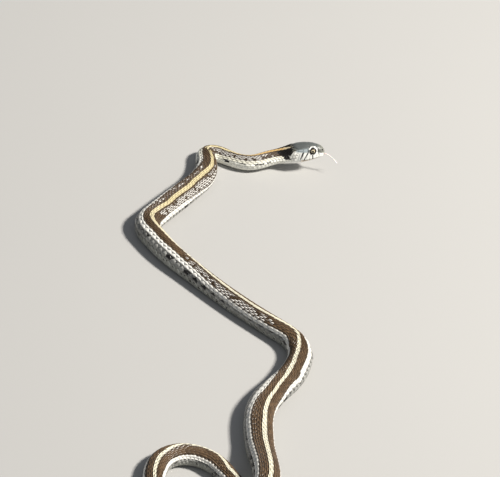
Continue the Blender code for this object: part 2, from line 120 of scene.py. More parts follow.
@dataclass
class Backbone:
    """The belly line: a route in plan with a raised neck and a hump over the tail."""

    snout: Edge = (-26.5, 188.2)
    heading: float = -160.9
    step: float = 0.5
    bends: tuple[Bend, ...] = (
        Bend("nape", 28.2, 28.5, 23.7),
        Bend("neck dip", 54.2, 24, -52.3),
        Bend("first bend", 79.1, 22.4, 118.9),
        Bend("easing after the first", 103.4, 44, -39.3),
        Bend("second bend", 182.9, 23.1, 65.9),
        Bend("easing after the second", 209.8, 31.6, 14.4),
        Bend("long reach", 267.2, 66, 7.7),
        Bend("third bend", 314, 34, -69.3),
        Bend("easing after the third", 340.7, 40, -21.9),
        Bend("midbody", 382.9, 50, 36.7),
        Bend("turning back", 480.3, 80, -95.8),
        Bend("turning up", 531.1, 72, -102.2),
        Bend("arch rise", 570, 30, -56.2),
        Bend("arch fall", 592.8, 36, -68.4),
        Bend("tail sweep", 701, 120, 50),
    )
    neck_foot: float = 81.3
    neck_rise: float = 0.00173
    head_back: float = 19.3
    hump_place: float = 464.5
    hump_flat: float = 8.0
    hump_ramp: float = 45.0
    hump_height: float = 10.0
    head_lean: float = 8.0
    lean_from: float = 22.0
    lean_span: float = 34.0
    route: tuple[Array, Array, Array] = field(init=False)

    def __post_init__(self) -> None:
        """Integrates the headings into a route."""
        places = np.arange(0.0, LENGTH + self.step, self.step)
        middles = self.headings(places[:-1] + self.step / 2)
        x = self.snout[0] + np.concatenate([[0.0], np.cumsum(self.step * np.cos(middles))])
        y = self.snout[1] + np.concatenate([[0.0], np.cumsum(self.step * np.sin(middles))])
        self.route = (places, x, y)

    def headings(self, places: Array) -> Array:
        """The way towards the tail at each place, in radians."""
        turned = sum(bend.turn * smooth((places - bend.middle) / bend.span + 0.5)
                     for bend in self.bends)
        return np.radians(self.heading + turned)

    def lifts(self, places: Array) -> Array:
        """Height of the belly line over the floor."""
        bent = np.maximum(self.neck_foot - np.maximum(places, self.head_back), 0.0)
        ahead = np.maximum(self.head_back - places, 0.0)
        neck = self.neck_rise * (bent * bent + 2 * bent * ahead - ahead * ahead)
        reach = self.hump_flat + self.hump_ramp - np.abs(places - self.hump_place)
        return neck + self.hump_height * smooth(reach / self.hump_ramp)

    def frames(self, places: Array) -> tuple[Array, Array, Array, Array]:
        """The belly point and the ways left, up and back.

        Args:
            places: distances from the snout.

        Returns:
            Four arrays of three columns, in millimetres.
        """
        at, x, y = self.route
        turn = self.headings(places)
        ahead = np.minimum(places, 0.0)
        point = np.stack([np.interp(places, at, x) + ahead * np.cos(turn),
                          np.interp(places, at, y) + ahead * np.sin(turn),
                          self.lifts(places)], axis=-1)
        rise = self.lifts(places + self.step) - self.lifts(places - self.step)
        slope = np.arctan(rise / (2 * self.step))
        back = np.stack([np.cos(turn) * np.cos(slope), np.sin(turn) * np.cos(slope),
                         np.sin(slope)], axis=-1)
        left = np.stack([np.sin(turn), -np.cos(turn), np.zeros_like(turn)], axis=-1)
        up = np.cross(back, -left)
        lean = np.radians(self.head_lean) * (1 - smooth((places - self.lean_from)
                                                        / self.lean_span))[..., None]
        leaned_left = left * np.cos(lean) - up * np.sin(lean)
        leaned_up = up * np.cos(lean) + left * np.sin(lean)
        return point, leaned_left, leaned_up, back


@dataclass
class Girth:
    """The sections of the snake: widths and heights by place, and the rounding of the snout."""

    width: Table = (
        (0, 6.6), (4, 8.1), (8, 10.6), (12, 12.5), (16, 13.8), (20, 13.8), (23, 12.6),
        (26, 11.2), (31, 10.3), (60, 10.5), (80, 12.6), (95, 14.2), (115, 15.1), (150, 16.2),
        (200, 15.4), (250, 13.4), (300, 13.8), (345, 15.9), (400, 16.9), (450, 15.3),
        (500, 13.6), (550, 12.4), (578, 12.9), (600, 12.2), (612, 10.9), (640, 9.5), (700, 6.2),
        (750, 3.2), (780, 1.0),
    )
    top: Table = (
        (0, 8.9), (4, 10.1), (8, 11.1), (12, 11.4), (16, 11.1), (20, 10.5), (25, 9.3), (31, 8.6),
        (60, 8.6), (80, 9.6), (95, 10.5), (115, 11.5), (150, 12.3), (200, 12.0), (250, 10.7),
        (300, 11.0), (345, 12.4), (400, 13.1), (450, 11.9), (500, 10.7), (550, 9.8), (600, 9.7),
        (612, 8.9), (640, 8.0), (700, 5.5), (750, 2.9), (780, 0.9),
    )
    lip: Table = (
        (0, 4.1), (4, 3.6), (8, 3.0), (12, 2.7), (16, 3.0), (20, 3.9), (25, 3.9), (60, 3.6),
        (115, 4.8), (200, 5.0), (250, 4.5), (400, 5.5), (450, 5.0), (600, 4.1), (700, 2.3),
        (780, 0.4),
    )
    chin: Table = ((0, 3.1), (4, 2.5), (8, 1.5), (12, 0.4), (16, -0.7), (20, -1.4), (25, -1.4),
                   (32, -0.6))
    crown_power: Table = ((0, 2.3), (8, 3.0), (16, 2.7), (31, 2.1))
    belly_sink: float = 0.07
    belly_power: float = 2.3
    snout_round: float = 4.0
    snout_power: float = 2.3
    rise_power: float = 0.8

    def sections(self, places: Array, setback: float = 0.0) -> dict[str, Array]:
        """Half width, heights and crown power at each place.

        Args:
            places: distances from the snout.
            setback: how far behind the snout the rounding starts.

        Returns:
            Arrays under the names half, bottom, lip, top and power.
        """
        short = 1 - np.clip((places - setback) / self.snout_round, 0.0, 1.0)
        share = (1 - short**self.snout_power) ** (1 / self.snout_power)
        lip = curve_at(self.lip, places)
        full = curve_at(self.top, places)
        behind = places >= self.chin[-1][0]
        low = np.where(behind, -self.belly_sink * full, curve_at(self.chin, places))
        return {"half": curve_at(self.width, places) / 2 * share, "lip": lip,
                "bottom": lip - (lip - low) * share**self.rise_power,
                "top": lip + (full - lip) * share**self.rise_power,
                "power": curve_at(self.crown_power, places)}


class Form:
    """The skin's surface as a function of the place and the way round the body."""

    samples: int = 361

    def __init__(self, backbone: Backbone, girth: Girth) -> None:
        """Keeps the backbone and the girth."""
        self.backbone = backbone
        self.girth = girth

    def outline(self, places: Array, angles: Array) -> tuple[Array, Array]:
        """Side and height round the sections, from the belly at 0 by the left lip.

        Args:
            places: distances from the snout, n of them.
            angles: m angles in radians.

        Returns:
            Two arrays of n by m, in millimetres.
        """
        cut = {name: values[:, None] for name, values in self.girth.sections(places).items()}
        cos, sin = np.cos(angles)[None, :], np.sin(angles)[None, :]
        power = np.where(cos < 0, cut["power"], self.girth.belly_power)
        side = cut["half"] * np.sign(sin) * np.abs(sin) ** (2 / power)
        over = np.where(cos < 0, cut["top"] - cut["lip"], cut["bottom"] - cut["lip"])
        height = cut["lip"] + over * np.abs(cos) ** (2 / power)
        floor = -self.backbone.lifts(places)[:, None]
        return side, np.maximum(height, floor)

    def rings(self, places: Array, shares: Array, depth: float) -> tuple[Array, Array]:
        """Points on the skin, evenly spaced round each section.

        Args:
            places: n distances from the snout.
            shares: m shares of the way round from the belly's middle, also under 0 or over 1.
            depth: how far the skin lies inside the solids.

        Returns:
            Points and outward ways, n by m by 3, in millimetres.
        """
        angles = np.linspace(0.0, 2 * math.pi, self.samples)
        side, height = self.outline(places, angles)
        runs = np.hypot(np.diff(side, axis=1), np.diff(height, axis=1))
        travelled = np.concatenate([np.zeros((len(places), 1)), np.cumsum(runs, axis=1)], axis=1)
        travelled /= travelled[:, -1:]
        turns = np.mod(shares, 1.0)
        across = np.stack([np.interp(turns, t, s) for t, s in zip(travelled, side)])
        above = np.stack([np.interp(turns, t, h) for t, h in zip(travelled, height)])
        point, left, up, _ = self.backbone.frames(places)
        surface = (point[:, None] + left[:, None] * across[..., None]
                   + up[:, None] * above[..., None])
        outward = self.outward(surface, point + up * curve_at(self.girth.lip, places)[:, None])
        return surface - outward * depth, outward

    @staticmethod
    def outward(surface: Array, middles: Array) -> Array:
        """Unit ways out of a grid of points, away from the middle of each ring."""
        along = np.gradient(surface, axis=0)
        round_ = np.gradient(surface, axis=1)
        out = np.cross(along, round_)
        out /= np.maximum(np.linalg.norm(out, axis=-1, keepdims=True), 1e-12)
        facing = np.sum(out * (surface - middles[:, None]), axis=-1, keepdims=True)
        return np.where(facing < 0, -out, out)


@dataclass(frozen=True)
class Signal:
    """A value on its way through a node tree. Its arithmetic is done by nodes."""

    desk: "Desk"
    socket: Socket

    def math(self, operation: str, *others: object) -> "Signal":
        """A Math node's result."""
        node = self.desk.add("ShaderNodeMath", dict(enumerate((self, *others))),
                             operation=operation)
        return Signal(self.desk, node.outputs[0])

    def __add__(self, other: object) -> "Signal":
        """The sum."""
        return self.math("ADD", other)

    def __sub__(self, other: object) -> "Signal":
        """The difference."""
        return self.math("SUBTRACT", other)

    def __mul__(self, other: object) -> "Signal":
        """The product."""
        return self.math("MULTIPLY", other)

    def __abs__(self) -> "Signal":
        """The value without its sign."""
        return self.math("ABSOLUTE")

    def most(self, other: object) -> "Signal":
        """The greater of two values."""
        return self.math("MAXIMUM", other)

    def ease(self, start: float, end: float) -> "Signal":
        """Eases from 0 at start to 1 at end, whichever is greater."""
        low, high = (0.0, 1.0) if start < end else (1.0, 0.0)
        node = self.desk.add("ShaderNodeMapRange", {
            "Value": self, "From Min": min(start, end), "From Max": max(start, end),
            "To Min": low, "To Max": high}, interpolation_type="SMOOTHSTEP")
        return Signal(self.desk, node.outputs["Result"])

    def between(self, start: float, full: float, last: float, end: float) -> "Signal":
        """Rises from 0 at start to 1 at full, and falls from 1 at last to 0 at end."""
        return self.ease(start, full) * self.ease(end, last)

    def grey(self) -> "Signal":
        """The grey whose three parts are this value."""
        return self.desk.vector(self, self, self)

    def light(self) -> "Signal":
        """1 on pale colours and 0 on dark ones."""
        value = self.desk.add("ShaderNodeRGBToBW", {"Color": self}).outputs["Val"]
        return Signal(self.desk, value).ease(*PALE)

    def over(self, share: object, above: object) -> "Signal":
        """This colour with another one laid over it."""
        return self.desk.mix(share, self, above)

    def dyed(self, colour: object) -> "Signal":
        """This colour multiplied by another."""
        return self.desk.mix(1.0, self, colour, "MULTIPLY")

    def shaded(self, share: object, colour: Colour) -> "Signal":
        """This colour dyed in part."""
        return self.over(share, self.dyed(colour))

    def vector_math(self, operation: str, inputs: dict) -> "Signal":
        """A Vector Math node's result."""
        node = self.desk.add("ShaderNodeVectorMath", {0: self, **inputs}, operation=operation)
        return Signal(self.desk, node.outputs[0])


class Desk:
    """Places nodes in one tree and joins them."""

    def __init__(self, tree: bpy.types.NodeTree) -> None:
        """Starts on an empty tree."""
        self.tree = tree
        tree.nodes.clear()

    def add(self, kind: str, inputs: dict | None = None, **settings: object) -> bpy.types.Node:
        """Adds a node.

        Args:
            kind: the node's type name.
            inputs: values, sockets or signals by input name or number.
            settings: properties of the node.

        Returns:
            The node.
        """
        node = self.tree.nodes.new(kind)
        for name, value in settings.items():
            setattr(node, name, value)
        for key, value in (inputs or {}).items():
            self.give(node.inputs[key], value)
        return node

    def give(self, socket: Socket, value: object) -> None:
        """Joins a signal or socket to an input, or sets its value."""
        if isinstance(value, Signal):
            value = value.socket
        if isinstance(value, Socket):
            self.tree.links.new(value, socket)
        else:
            socket.default_value = value

    def vector(self, x: object = 0.0, y: object = 0.0, z: object = 0.0) -> Signal:
        """A vector of three values."""
        node = self.add("ShaderNodeCombineXYZ", {"X": x, "Y": y, "Z": z})
        return Signal(self, node.outputs["Vector"])

    def mix(self, share: object, below: object, above: object, blend: str = "MIX") -> Signal:
        """Mixes two colours."""
        inputs = {number: (*value, 1.0) if isinstance(value, tuple) else value
                  for number, value in ((0, share), (6, below), (7, above))}
        node = self.add("ShaderNodeMix", inputs, data_type="RGBA", blend_type=blend)
        return Signal(self, node.outputs[2])

    def noise(self, scale: float, detail: float = 2.0, rough: float = 0.5) -> Signal:
        """Noise over the point's place in the piece."""
        at = self.add("ShaderNodeTexCoord").outputs["Object"]
        node = self.add("ShaderNodeTexNoise", {"Vector": at, "Scale": scale, "Detail": detail,
                                               "Roughness": rough})
        return Signal(self, node.outputs["Fac"])

    def reading(self, name: str, output: str = "Fac") -> Signal:
        """A named attribute's value."""
        return Signal(self, self.add("ShaderNodeAttribute", attribute_name=name).outputs[output])


class Surface:
    """A material with one Principled shader."""

    def __init__(self, name: str) -> None:
        """Makes the material and a desk on its tree."""
        self.material = bpy.data.materials.new(name)
        self.material.use_nodes = True
        self.desk = Desk(self.material.node_tree)
        self.shader = self.desk.add("ShaderNodeBsdfPrincipled")
        self.desk.add("ShaderNodeOutputMaterial", {"Surface": self.shader.outputs["BSDF"]})

    def grain(self, scale: float, strength: float, distance: float) -> None:
        """Gives the surface a fine bump."""
        bump = self.desk.add("ShaderNodeBump", {"Strength": strength, "Distance": distance,
                                                "Height": self.desk.noise(scale)})
        self.desk.give(self.shader.inputs["Normal"], bump.outputs["Normal"])

    def dress(self, colour: Signal, values: dict[str, float]) -> bpy.types.Material:
        """Sets the colour and the shader's constant values."""
        self.desk.give(self.shader.inputs["Base Color"], colour)
        for name, value in values.items():
            self.shader.inputs[name].default_value = value
        return self.material


class Reading:
    """What the body's meshes carry at a point, with the row counted from the back's middle."""

    half_scale: float = 0.80
    wander_scale: float = 380.0
    wander_rows: float = 0.3
    chance_rows: float = 0.22
    along_rows: float = 0.25

    def __init__(self, desk: Desk) -> None:
        """Reads the values. The ragged row is shifted a little from scale to scale."""
        self.desk = desk
        self.row, self.across, self.along, self.place, self.chance, self.opened, self.edge = (
            desk.reading(name)
            for name in ("row", "across", "along", "place", "chance", "open", "edge"))
        wander = (desk.noise(self.wander_scale, 1.0) - 0.5) * self.wander_rows
        self.from_back = abs(self.across * self.half_scale + self.row + wander)
        self.ragged = (self.from_back + (self.chance - 0.5) * self.chance_rows
                       + (self.along - 0.5) * self.along_rows)


@dataclass(frozen=True)
class BodyFinish:
    """Markings of the body, by scale row from the back and by place.

    An edge is a start and an end. A window is where a marking starts, is full, is last full
    and ends. A step is a start, an end and a shift.
    """

    stripe_tip: Colour = (0.82, 0.72, 0.50)
    stripe_changes: tuple[tuple[float, float, Colour], ...] = (
        (22.0, 27.0, (0.72, 0.49, 0.21)), (34.0, 66.0, (0.70, 0.61, 0.37)),
        (150.0, 230.0, (0.86, 0.82, 0.66)))
    brown: Colour = (0.130, 0.083, 0.046)
    brown_dark: Colour = (0.050, 0.034, 0.021)
    lateral: Colour = (0.84, 0.83, 0.78)
    cream: Colour = (0.86, 0.84, 0.72)
    under: Colour = (0.33, 0.33, 0.31)
    under_neck: Colour = (0.92, 0.92, 0.84)
    belly: Colour = (0.44, 0.45, 0.41)
    cap: Colour = (0.150, 0.158, 0.138)
    spot: Colour = (0.012, 0.010, 0.009)
    fleck: Colour = (1.0, 0.98, 0.93)
    # painted shade: darkens the skin between the scales
    bare_shade_dye: Colour = (0.3, 0.28, 0.26)
    fine_dye: Colour = (0.60, 0.58, 0.55)
    # painted highlight: lightens each scale's keel as if the ridge caught the light
    keel_highlight_dye: Colour = (1.22, 1.20, 1.17)
    # painted shade: darkens each scale's border and tip as if shade fell between the scales
    rim_shade_dye: Colour = (0.45, 0.43, 0.42)
    stripe_blur: float = 0.07
    brown_rows: Edge = (1.0, 1.9)
    low_rows: Edge = (5.7, 6.5)
    low_dark: float = 0.7
    uneven: float = 0.45
    fore_places: Edge = (212.0, 184.0)
    fore_dark: float = 0.32
    opened_rows: Edge = (2.2, 3.0)
    opened_dark: float = 0.7
    neck_places: Edge = (96.0, 82.0)
    belly_rows: Edge = (9.4, 9.9)
    check_step: float = 9.0
    check_row: float = 3.7
    check_turn: float = 1.2
    check_edge: Edge = (0.25, 0.75)
    check_dark: float = 0.45
    lateral_top: float = 6.75
    lateral_top_blur: float = 0.08
    lateral_foot: float = 8.05
    lateral_foot_blur: float = 0.1
    wider_places: Window = (130.0, 165.0, 242.0, 262.0)
    wider_rows: float = 0.35
    narrower_places: Window = (88.0, 98.0, 125.0, 150.0)
    narrower_rows: float = 0.3
    nape_front: float = 20.0
    nape_front_steps: tuple[Step, ...] = ((5.6, 7.6, 2.6), (7.6, 9.0, -1.6))
    nape_rear: float = 30.4
    nape_rear_step: Step = (3.4, 8.8, -4.8)
    nape_rows: Window = (1.1, 1.4, 8.6, 9.0)
    nape_front_edge: Edge = (-0.4, 0.4)
    nape_rear_edge: Edge = (-0.6, 0.6)
    before_edge: Edge = (0.2, -0.4)
    before_places: Edge = (24.0, 22.8)
    before_pale_rows: Edge = (4.2, 5.4)
    before_cap_rows: Edge = (5.2, 4.0)
    spot_step: float = 7.1
    spot_drift: float = 2.2
    spot_edge: Edge = (0.42, 0.72)
    spot_top: Edge = (8.1, 8.3)
    spot_foot: float = 8.5
    spot_foot_drift: float = 0.8
    spot_foot_blur: float = 0.2
    spots_from: Edge = (78.0, 92.0)
    finer_places: Edge = (190.0, 260.0)
    finer: float = 0.28
    corner_edge: Edge = (0.75, 0.9)
    corner_rows: Window = (9.5, 9.6, 9.85, 9.95)
    neck_spots: Table = ((63.6, 8.3), (63.2, 8.95), (53.4, 8.45), (46.0, 8.5), (42.3, 8.8),
                         (37.1, 8.8))
    neck_spot_high: float = 2.6
    neck_spot_long: float = 0.7
    neck_spot_edge: Edge = (1.35, 1.05)
    keel_across: Edge = (0.18, 0.05)
    keel_along: Edge = (0.25, 0.45)
    # share of the painted highlight on each keel
    keel_highlight_share: float = 0.7
    rim_across: Edge = (0.70, 1.0)
    rim_along: Edge = (0.86, 1.0)
    # share of the painted shade at a scale's border, less on pale colours
    rim_shade_share: float = 0.42
    rim_shade_less_on_pale: float = 0.37
    # share of the painted shade on the skin between scales, less on pale colours
    bare_shade_share: float = 0.7
    bare_shade_less_on_pale: float = 0.62
    fleck_across: Edge = (0.24, 0.32)
    fleck_share: float = 0.9
    fleck_rows: Window = (2.3, 2.7, 6.4, 6.7)
    fleck_along: Window = (0.26, 0.32, 0.68, 0.74)
    skin_fleck_rows: Window = (2.4, 2.9, 6.3, 6.7)
    picked_edge: Edge = (0.02, 0.06)
    flank_tone: Edge = (0.42, 0.70)
    neck_tone: float = 0.97
    stripe_tone: Edge = (0.14, 0.90)
    patch_noise: Edge = (520.0, 1.0)
    patch_edge: Edge = (0.36, 0.42)
    fine_noise: Triple = (1500.0, 3.0, 0.6)
    fine_share: float = 0.4
    grain: Triple = (3800.0, 0.12, 0.00006)
    roughness: float = 0.31
    specular: float = 0.42

    def make(self, name: str, on_skin: bool) -> bpy.types.Material:
        """Builds the material.

        Args:
            name: the material's name.
            on_skin: the skin between scales, painted darker as shade, and pale where it is
                stretched.

        Returns:
            The material.
        """
        surface = Surface(name)
        at = Reading(surface.desk)
        colour = self.bands(at)
        if on_skin:
            # painted shade on the skin between the scales, less on pale colours
            colour = colour.shaded(colour.light() * -self.bare_shade_less_on_pale + self.bare_shade_share,
                                   self.bare_shade_dye)
            patches = surface.desk.noise(*self.patch_noise).ease(*self.patch_edge)
            shown = at.opened * patches * at.from_back.between(*self.skin_fleck_rows)
            colour = colour.over(shown, self.fleck)
        else:
            colour = self.scale_detail(at, colour)
        fine = surface.desk.noise(*self.fine_noise)
        colour = colour.shaded(fine * self.fine_share, self.fine_dye)
        surface.grain(*self.grain)
        return surface.dress(colour, {"Roughness": self.roughness,
                                      "Specular IOR Level": self.specular})

    def bands(self, at: Reading) -> Signal:
        """Stripes, brown sides, flanks, belly and nape."""
        neck = at.place.ease(*self.neck_places)
        top, foot = at.ragged - self.lateral_top, at.ragged - self.lateral_foot
        low, high = -self.lateral_foot_blur, self.lateral_foot_blur
        colour = self.ground(at).over(foot.ease(low, high), self.flank(at, neck))
        colour = colour.over((at.ragged - at.edge).ease(self.stripe_blur, -self.stripe_blur),
                             self.back_stripe(at))
        top = top + at.place.between(*self.wider_places) * self.wider_rows
        top = top - at.place.between(*self.narrower_places) * self.narrower_rows
        side = top.ease(-self.lateral_top_blur, self.lateral_top_blur) * foot.ease(high, low)
        colour = colour.over(side, at.desk.mix(neck, self.lateral, self.cream))
        return self.nape(at, colour.over(self.flank_spots(at), self.spot))

    def ground(self, at: Reading) -> Signal:
        """The brown sides: darker by the stripe, low down, ahead, in checks and where opened."""
        rows = at.from_back
        colour = at.desk.mix(rows.ease(*self.brown_rows), self.brown_dark, self.brown)
        colour = colour.over(rows.ease(*self.low_rows) * self.low_dark, self.brown_dark)
        colour = colour.dyed(((at.chance - 0.5) * self.uneven + 1.0).grey())
        for share in (at.place.ease(*self.fore_places) * self.fore_dark,
                      self.checks(at) * self.check_dark,
                      at.opened * rows.ease(*self.opened_rows) * self.opened_dark):
            colour = colour.over(share, self.brown_dark)
        return colour

    def checks(self, at: Reading) -> Signal:
        """Alternate blotches in the brown: an upper and a lower row half a step apart."""
        turn = (at.place * (2 * math.pi / self.check_step)).math("SINE")
        level = ((at.from_back - self.check_row) * self.check_turn).math("SINE")
        return (turn * level).ease(*self.check_edge)

    def flank(self, at: Reading, neck: Signal) -> Signal:
        """The flank and the belly below the side stripe, pale on the neck."""
        colour = at.desk.mix(at.from_back.ease(*self.belly_rows), self.under, self.belly)
        gain, least = self.flank_tone
        tone = (at.chance * gain + least).most(neck * self.neck_tone)
        return colour.over(neck, self.under_neck).dyed(tone.grey())

    def back_stripe(self, at: Reading) -> Signal:
        """The stripe of the back, from its tip on the nape to the tail."""
        colour = self.stripe_tip
        for start, end, later in self.stripe_changes:
            colour = at.desk.mix(at.place.ease(start, end), colour, later)
        gain, least = self.stripe_tone
        return colour.dyed((at.chance * gain + least).grey())

    def nape(self, at: Reading, colour: Signal) -> Signal:
        """The black blotch on each side of the nape, and the pale band before it."""
        rows, place = at.from_back, at.place
        ahead = place - self.nape_front
        for start, end, shift in self.nape_front_steps:
            ahead = ahead - rows.ease(start, end) * shift
        start, end, shift = self.nape_rear_step
        behind = rows.ease(start, end) * shift + self.nape_rear - place
        before = ahead.ease(*self.before_edge) * place.ease(*self.before_places)
        colour = colour.over(before * rows.ease(*self.before_pale_rows), self.lateral)
        colour = colour.over(before * rows.ease(*self.before_cap_rows), self.cap)
        blotch = ahead.ease(*self.nape_front_edge) * behind.ease(*self.nape_rear_edge)
        return colour.over(blotch * rows.between(*self.nape_rows), self.spot)

    def flank_spots(self, at: Reading) -> Signal:
        """Black spots below the side stripe: few on the neck, and fine past mid-trunk."""
        rows, place = at.from_back, at.place
        turn = at.chance * self.spot_drift + place * (2 * math.pi / self.spot_step)
        wave = turn.math("SINE")
        broad = (wave - place.ease(*self.finer_places) * self.finer).ease(*self.spot_edge)
        foot = rows - (at.chance * self.spot_foot_drift + self.spot_foot)
        foot = foot.ease(self.spot_foot_blur, -self.spot_foot_blur)
        corner = wave.ease(*self.corner_edge) * rows.between(*self.corner_rows)
        spots = (broad * rows.ease(*self.spot_top) * foot).most(corner)
        spots = spots * place.ease(*self.spots_from)
        for middle, row in self.neck_spots:
            away = (abs(rows - row) * self.neck_spot_high
                    + abs(place - middle) * self.neck_spot_long)
            spots = spots.most(away.ease(*self.neck_spot_edge))
        return spots

    def scale_detail(self, at: Reading, colour: Signal) -> Signal:
        """Painted highlight along the keel, painted shade along the border, and pale flecks of one
        scale.
        """
        off = abs(at.across)
        keel = off.ease(*self.keel_across) * at.along.ease(*self.keel_along)
        # painted highlight along the keel of each scale
        colour = colour.shaded(keel * self.keel_highlight_share, self.keel_highlight_dye)
        # painted shade along the border and tip of each scale
        rim = off.ease(*self.rim_across).most(at.along.ease(*self.rim_along))
        share = colour.light() * -self.rim_shade_less_on_pale + self.rim_shade_share
        colour = colour.shaded(rim * share, self.rim_shade_dye)
        picked = (at.opened * self.fleck_share - at.chance).ease(*self.picked_edge)
        dots = off.ease(*self.fleck_across) * at.along.between(*self.fleck_along)
        return colour.over(picked * dots * at.from_back.between(*self.fleck_rows), self.fleck)


class Reference(Enum):
    """What the distances of a head shield's corners are measured from."""

    CROWN = "the middle of the crown"
    LIP = "the edge of the upper lip"
    JAW = "the edge of the lower lip"
    CHIN = "the middle of the chin"


@dataclass(frozen=True)
class Shield:
    """A shield of the head: corners of place and distance, on the left side or both."""

    name: str
    corners: Table
    reference: Reference
    middle: bool = False


CROWN, LIP, CHIN = Reference.CROWN, Reference.LIP, Reference.CHIN
SHIELDS = (
    Shield("rostral", ((0.0, 0.0), (1.25, 0.0), (1.25, 1.3), (1.05, 3.2), (1.0, 9.0),
                       (0.0, 9.0)), CROWN, True),
    Shield("internasal", ((1.25, 0.0), (1.25, 1.4), (3.0, 2.2), (3.2, 0.0)), CROWN),
    Shield("prefrontal", ((3.2, 0.0), (3.0, 2.2), (4.2, 3.4), (5.9, 3.6), (5.9, 1.6),
                          (5.7, 0.0)), CROWN),
    Shield("frontal", ((5.7, 0.0), (5.9, 1.6), (8.4, 1.35), (10.2, 1.5), (11.5, 0.0)),
           CROWN, True),
    Shield("supraocular", ((5.9, 1.6), (5.9, 3.6), (7.0, 4.4), (9.8, 4.6), (11.0, 4.3),
                           (10.9, 2.2), (10.2, 1.5), (8.4, 1.35)), CROWN),
    Shield("parietal", ((11.5, 0.0), (10.2, 1.5), (10.9, 2.2), (11.0, 4.3), (12.2, 5.3),
                        (15.2, 5.6), (18.0, 4.2), (19.3, 1.4), (18.8, 0.0)), CROWN),
    Shield("prenasal", ((1.05, 1.5), (1.25, 4.4), (2.2, 5.3), (2.2, 1.55)), LIP),
    Shield("postnasal", ((2.2, 1.55), (2.2, 5.3), (3.2, 6.0), (3.3, 1.8)), LIP),
    Shield("loreal", ((3.3, 1.8), (3.2, 6.0), (4.2, 5.5), (4.9, 5.9), (5.0, 2.3)), LIP),
    Shield("preocular", ((5.0, 2.3), (4.9, 5.9), (5.9, 6.5), (6.7, 4.9), (6.5, 2.9)), LIP),
    Shield("upper postocular", ((10.3, 5.6), (10.0, 7.0), (11.4, 7.2), (11.8, 5.7)), LIP),
    Shield("middle postocular", ((10.4, 4.4), (10.3, 5.6), (11.8, 5.7), (11.9, 4.5)), LIP),
    Shield("lower postocular", ((10.0, 3.2), (10.4, 4.4), (11.9, 4.5), (11.8, 3.3)), LIP),
    Shield("front temporal", ((11.8, 3.3), (11.8, 6.9), (14.6, 6.9), (15.0, 3.6)), LIP),
    Shield("upper temporal", ((14.8, 5.2), (14.6, 6.9), (17.6, 7.0), (17.9, 5.3)), LIP),
    Shield("lower temporal", ((15.0, 3.6), (14.8, 5.2), (17.9, 5.3), (18.0, 3.7)), LIP),
    Shield("mental", ((0.9, 0.0), (0.9, 6.0), (1.7, 1.1), (2.0, 0.0)), CHIN, True),
    Shield("front chin", ((2.0, 0.0), (2.2, 1.5), (5.9, 1.9), (6.0, 0.0)), CHIN),
    Shield("rear chin", ((6.0, 0.0), (5.9, 1.9), (9.8, 2.3), (10.6, 1.3), (9.6, 0.3)),
           CHIN),
)


@dataclass(frozen=True)
class HeadFinish:
    """Colours of the head's shields and of the marks over them."""

    crown: Colour = (0.138, 0.150, 0.146)
    crown_edge: Colour = (0.050, 0.054, 0.052)
    snout: Colour = (0.29, 0.29, 0.24)
    temple: Colour = (0.42, 0.48, 0.50)
    pale: Colour = (0.97, 0.97, 0.92)
    chin: Colour = (0.82, 0.79, 0.70)
    peach: Colour = (0.62, 0.47, 0.34)
    black: Colour = (0.018, 0.016, 0.016)
    # painted shade: the mouth slit between the lips is painted near black
    mouth: Colour = (0.05, 0.03, 0.025)
    cloud_dye: Colour = (0.66, 0.67, 0.68)
    fine_dye: Colour = (0.7, 0.68, 0.66)
    snout_places: Edge = (6.0, 2.0)
    snout_share: float = 0.75
    temple_below: Edge = (4.6, 6.0)
    temple_places: Edge = (9.0, 11.5)
    temple_share: float = 0.85
    cheek_top: Table = ((0, 1.3), (4, 1.9), (6, 2.9), (9, 3.4), (14, 4.0), (18, 4.6))
    cheek_edge: Edge = (0.35, -0.25)
    cheek_foot: Edge = (1.06, 1.0)
    cheek_places: Edge = (0.4, 1.4)
    lip_below: Edge = (1.36, 1.12)
    lip_places: Edge = (3.0, 7.0)
    lip_share: float = 0.7
    nape_places: Edge = (15.2, 16.4)
    nape_above: Edge = (4.6, 3.6)
    blotch_places: Edge = (19.4, 20.4)
    blotch_below: Edge = (6.2, 5.2)
    line_edge: Edge = (0.16, 0.03)
    crown_line: float = 0.55
    nape_line_loss: float = 0.8
    labial_line: float = 0.25
    jaw_line: float = 0.35
    temple_line_edge: Edge = (0.26, 0.12)
    temple_line_from: Edge = (10.6, 11.4)
    temple_line_to: Edge = (15.4, 14.0)
    temple_line_height: float = 6.2
    temple_line_reach: Edge = (0.9, 0.5)
    temple_line: float = 0.7
    # painted shade: the nostrils are painted black
    nostril_shade_edge: Edge = (0.95, 0.60)
    ring_inner: Edge = (1.24, 1.36)
    ring_outer: Edge = (1.74, 1.56)
    ring_gap: float = 0.5
    gap_above: Edge = (0.2, 1.3)
    gap_along: Edge = (1.2, 0.6)
    socket_edge: Edge = (1.32, 1.2)
    bar_blur: float = 0.08
    cloud_noise: Triple = (900.0, 4.0, 0.7)
    cloud_edge: Edge = (0.40, 0.62)
    cloud_share: Edge = (-0.45, 0.5)
    fine_noise: Triple = (3000.0, 3.0, 0.65)
    fine_share: Edge = (-0.25, 0.3)
    grain: Triple = (5000.0, 0.1, 0.00005)
    roughness: float = 0.38
    specular: float = 0.5

    def make(self) -> bpy.types.Material:
        """Builds the material over the tints that the head's mesh carries."""
        surface = Surface("head_shields")
        desk = surface.desk
        tint = desk.reading("tint", "Color")
        pale = tint.light()
        cloud = desk.noise(*self.cloud_noise).ease(*self.cloud_edge)
        gain, share = self.cloud_share
        colour = tint.shaded(cloud * (pale * gain + share), self.cloud_dye)
        gain, share = self.fine_share
        fine = desk.noise(*self.fine_noise)
        colour = colour.shaded(fine * (pale * gain + share), self.fine_dye)
        surface.grain(*self.grain)
        return surface.dress(colour, {"Roughness": self.roughness,
                                      "Specular IOR Level": self.specular})


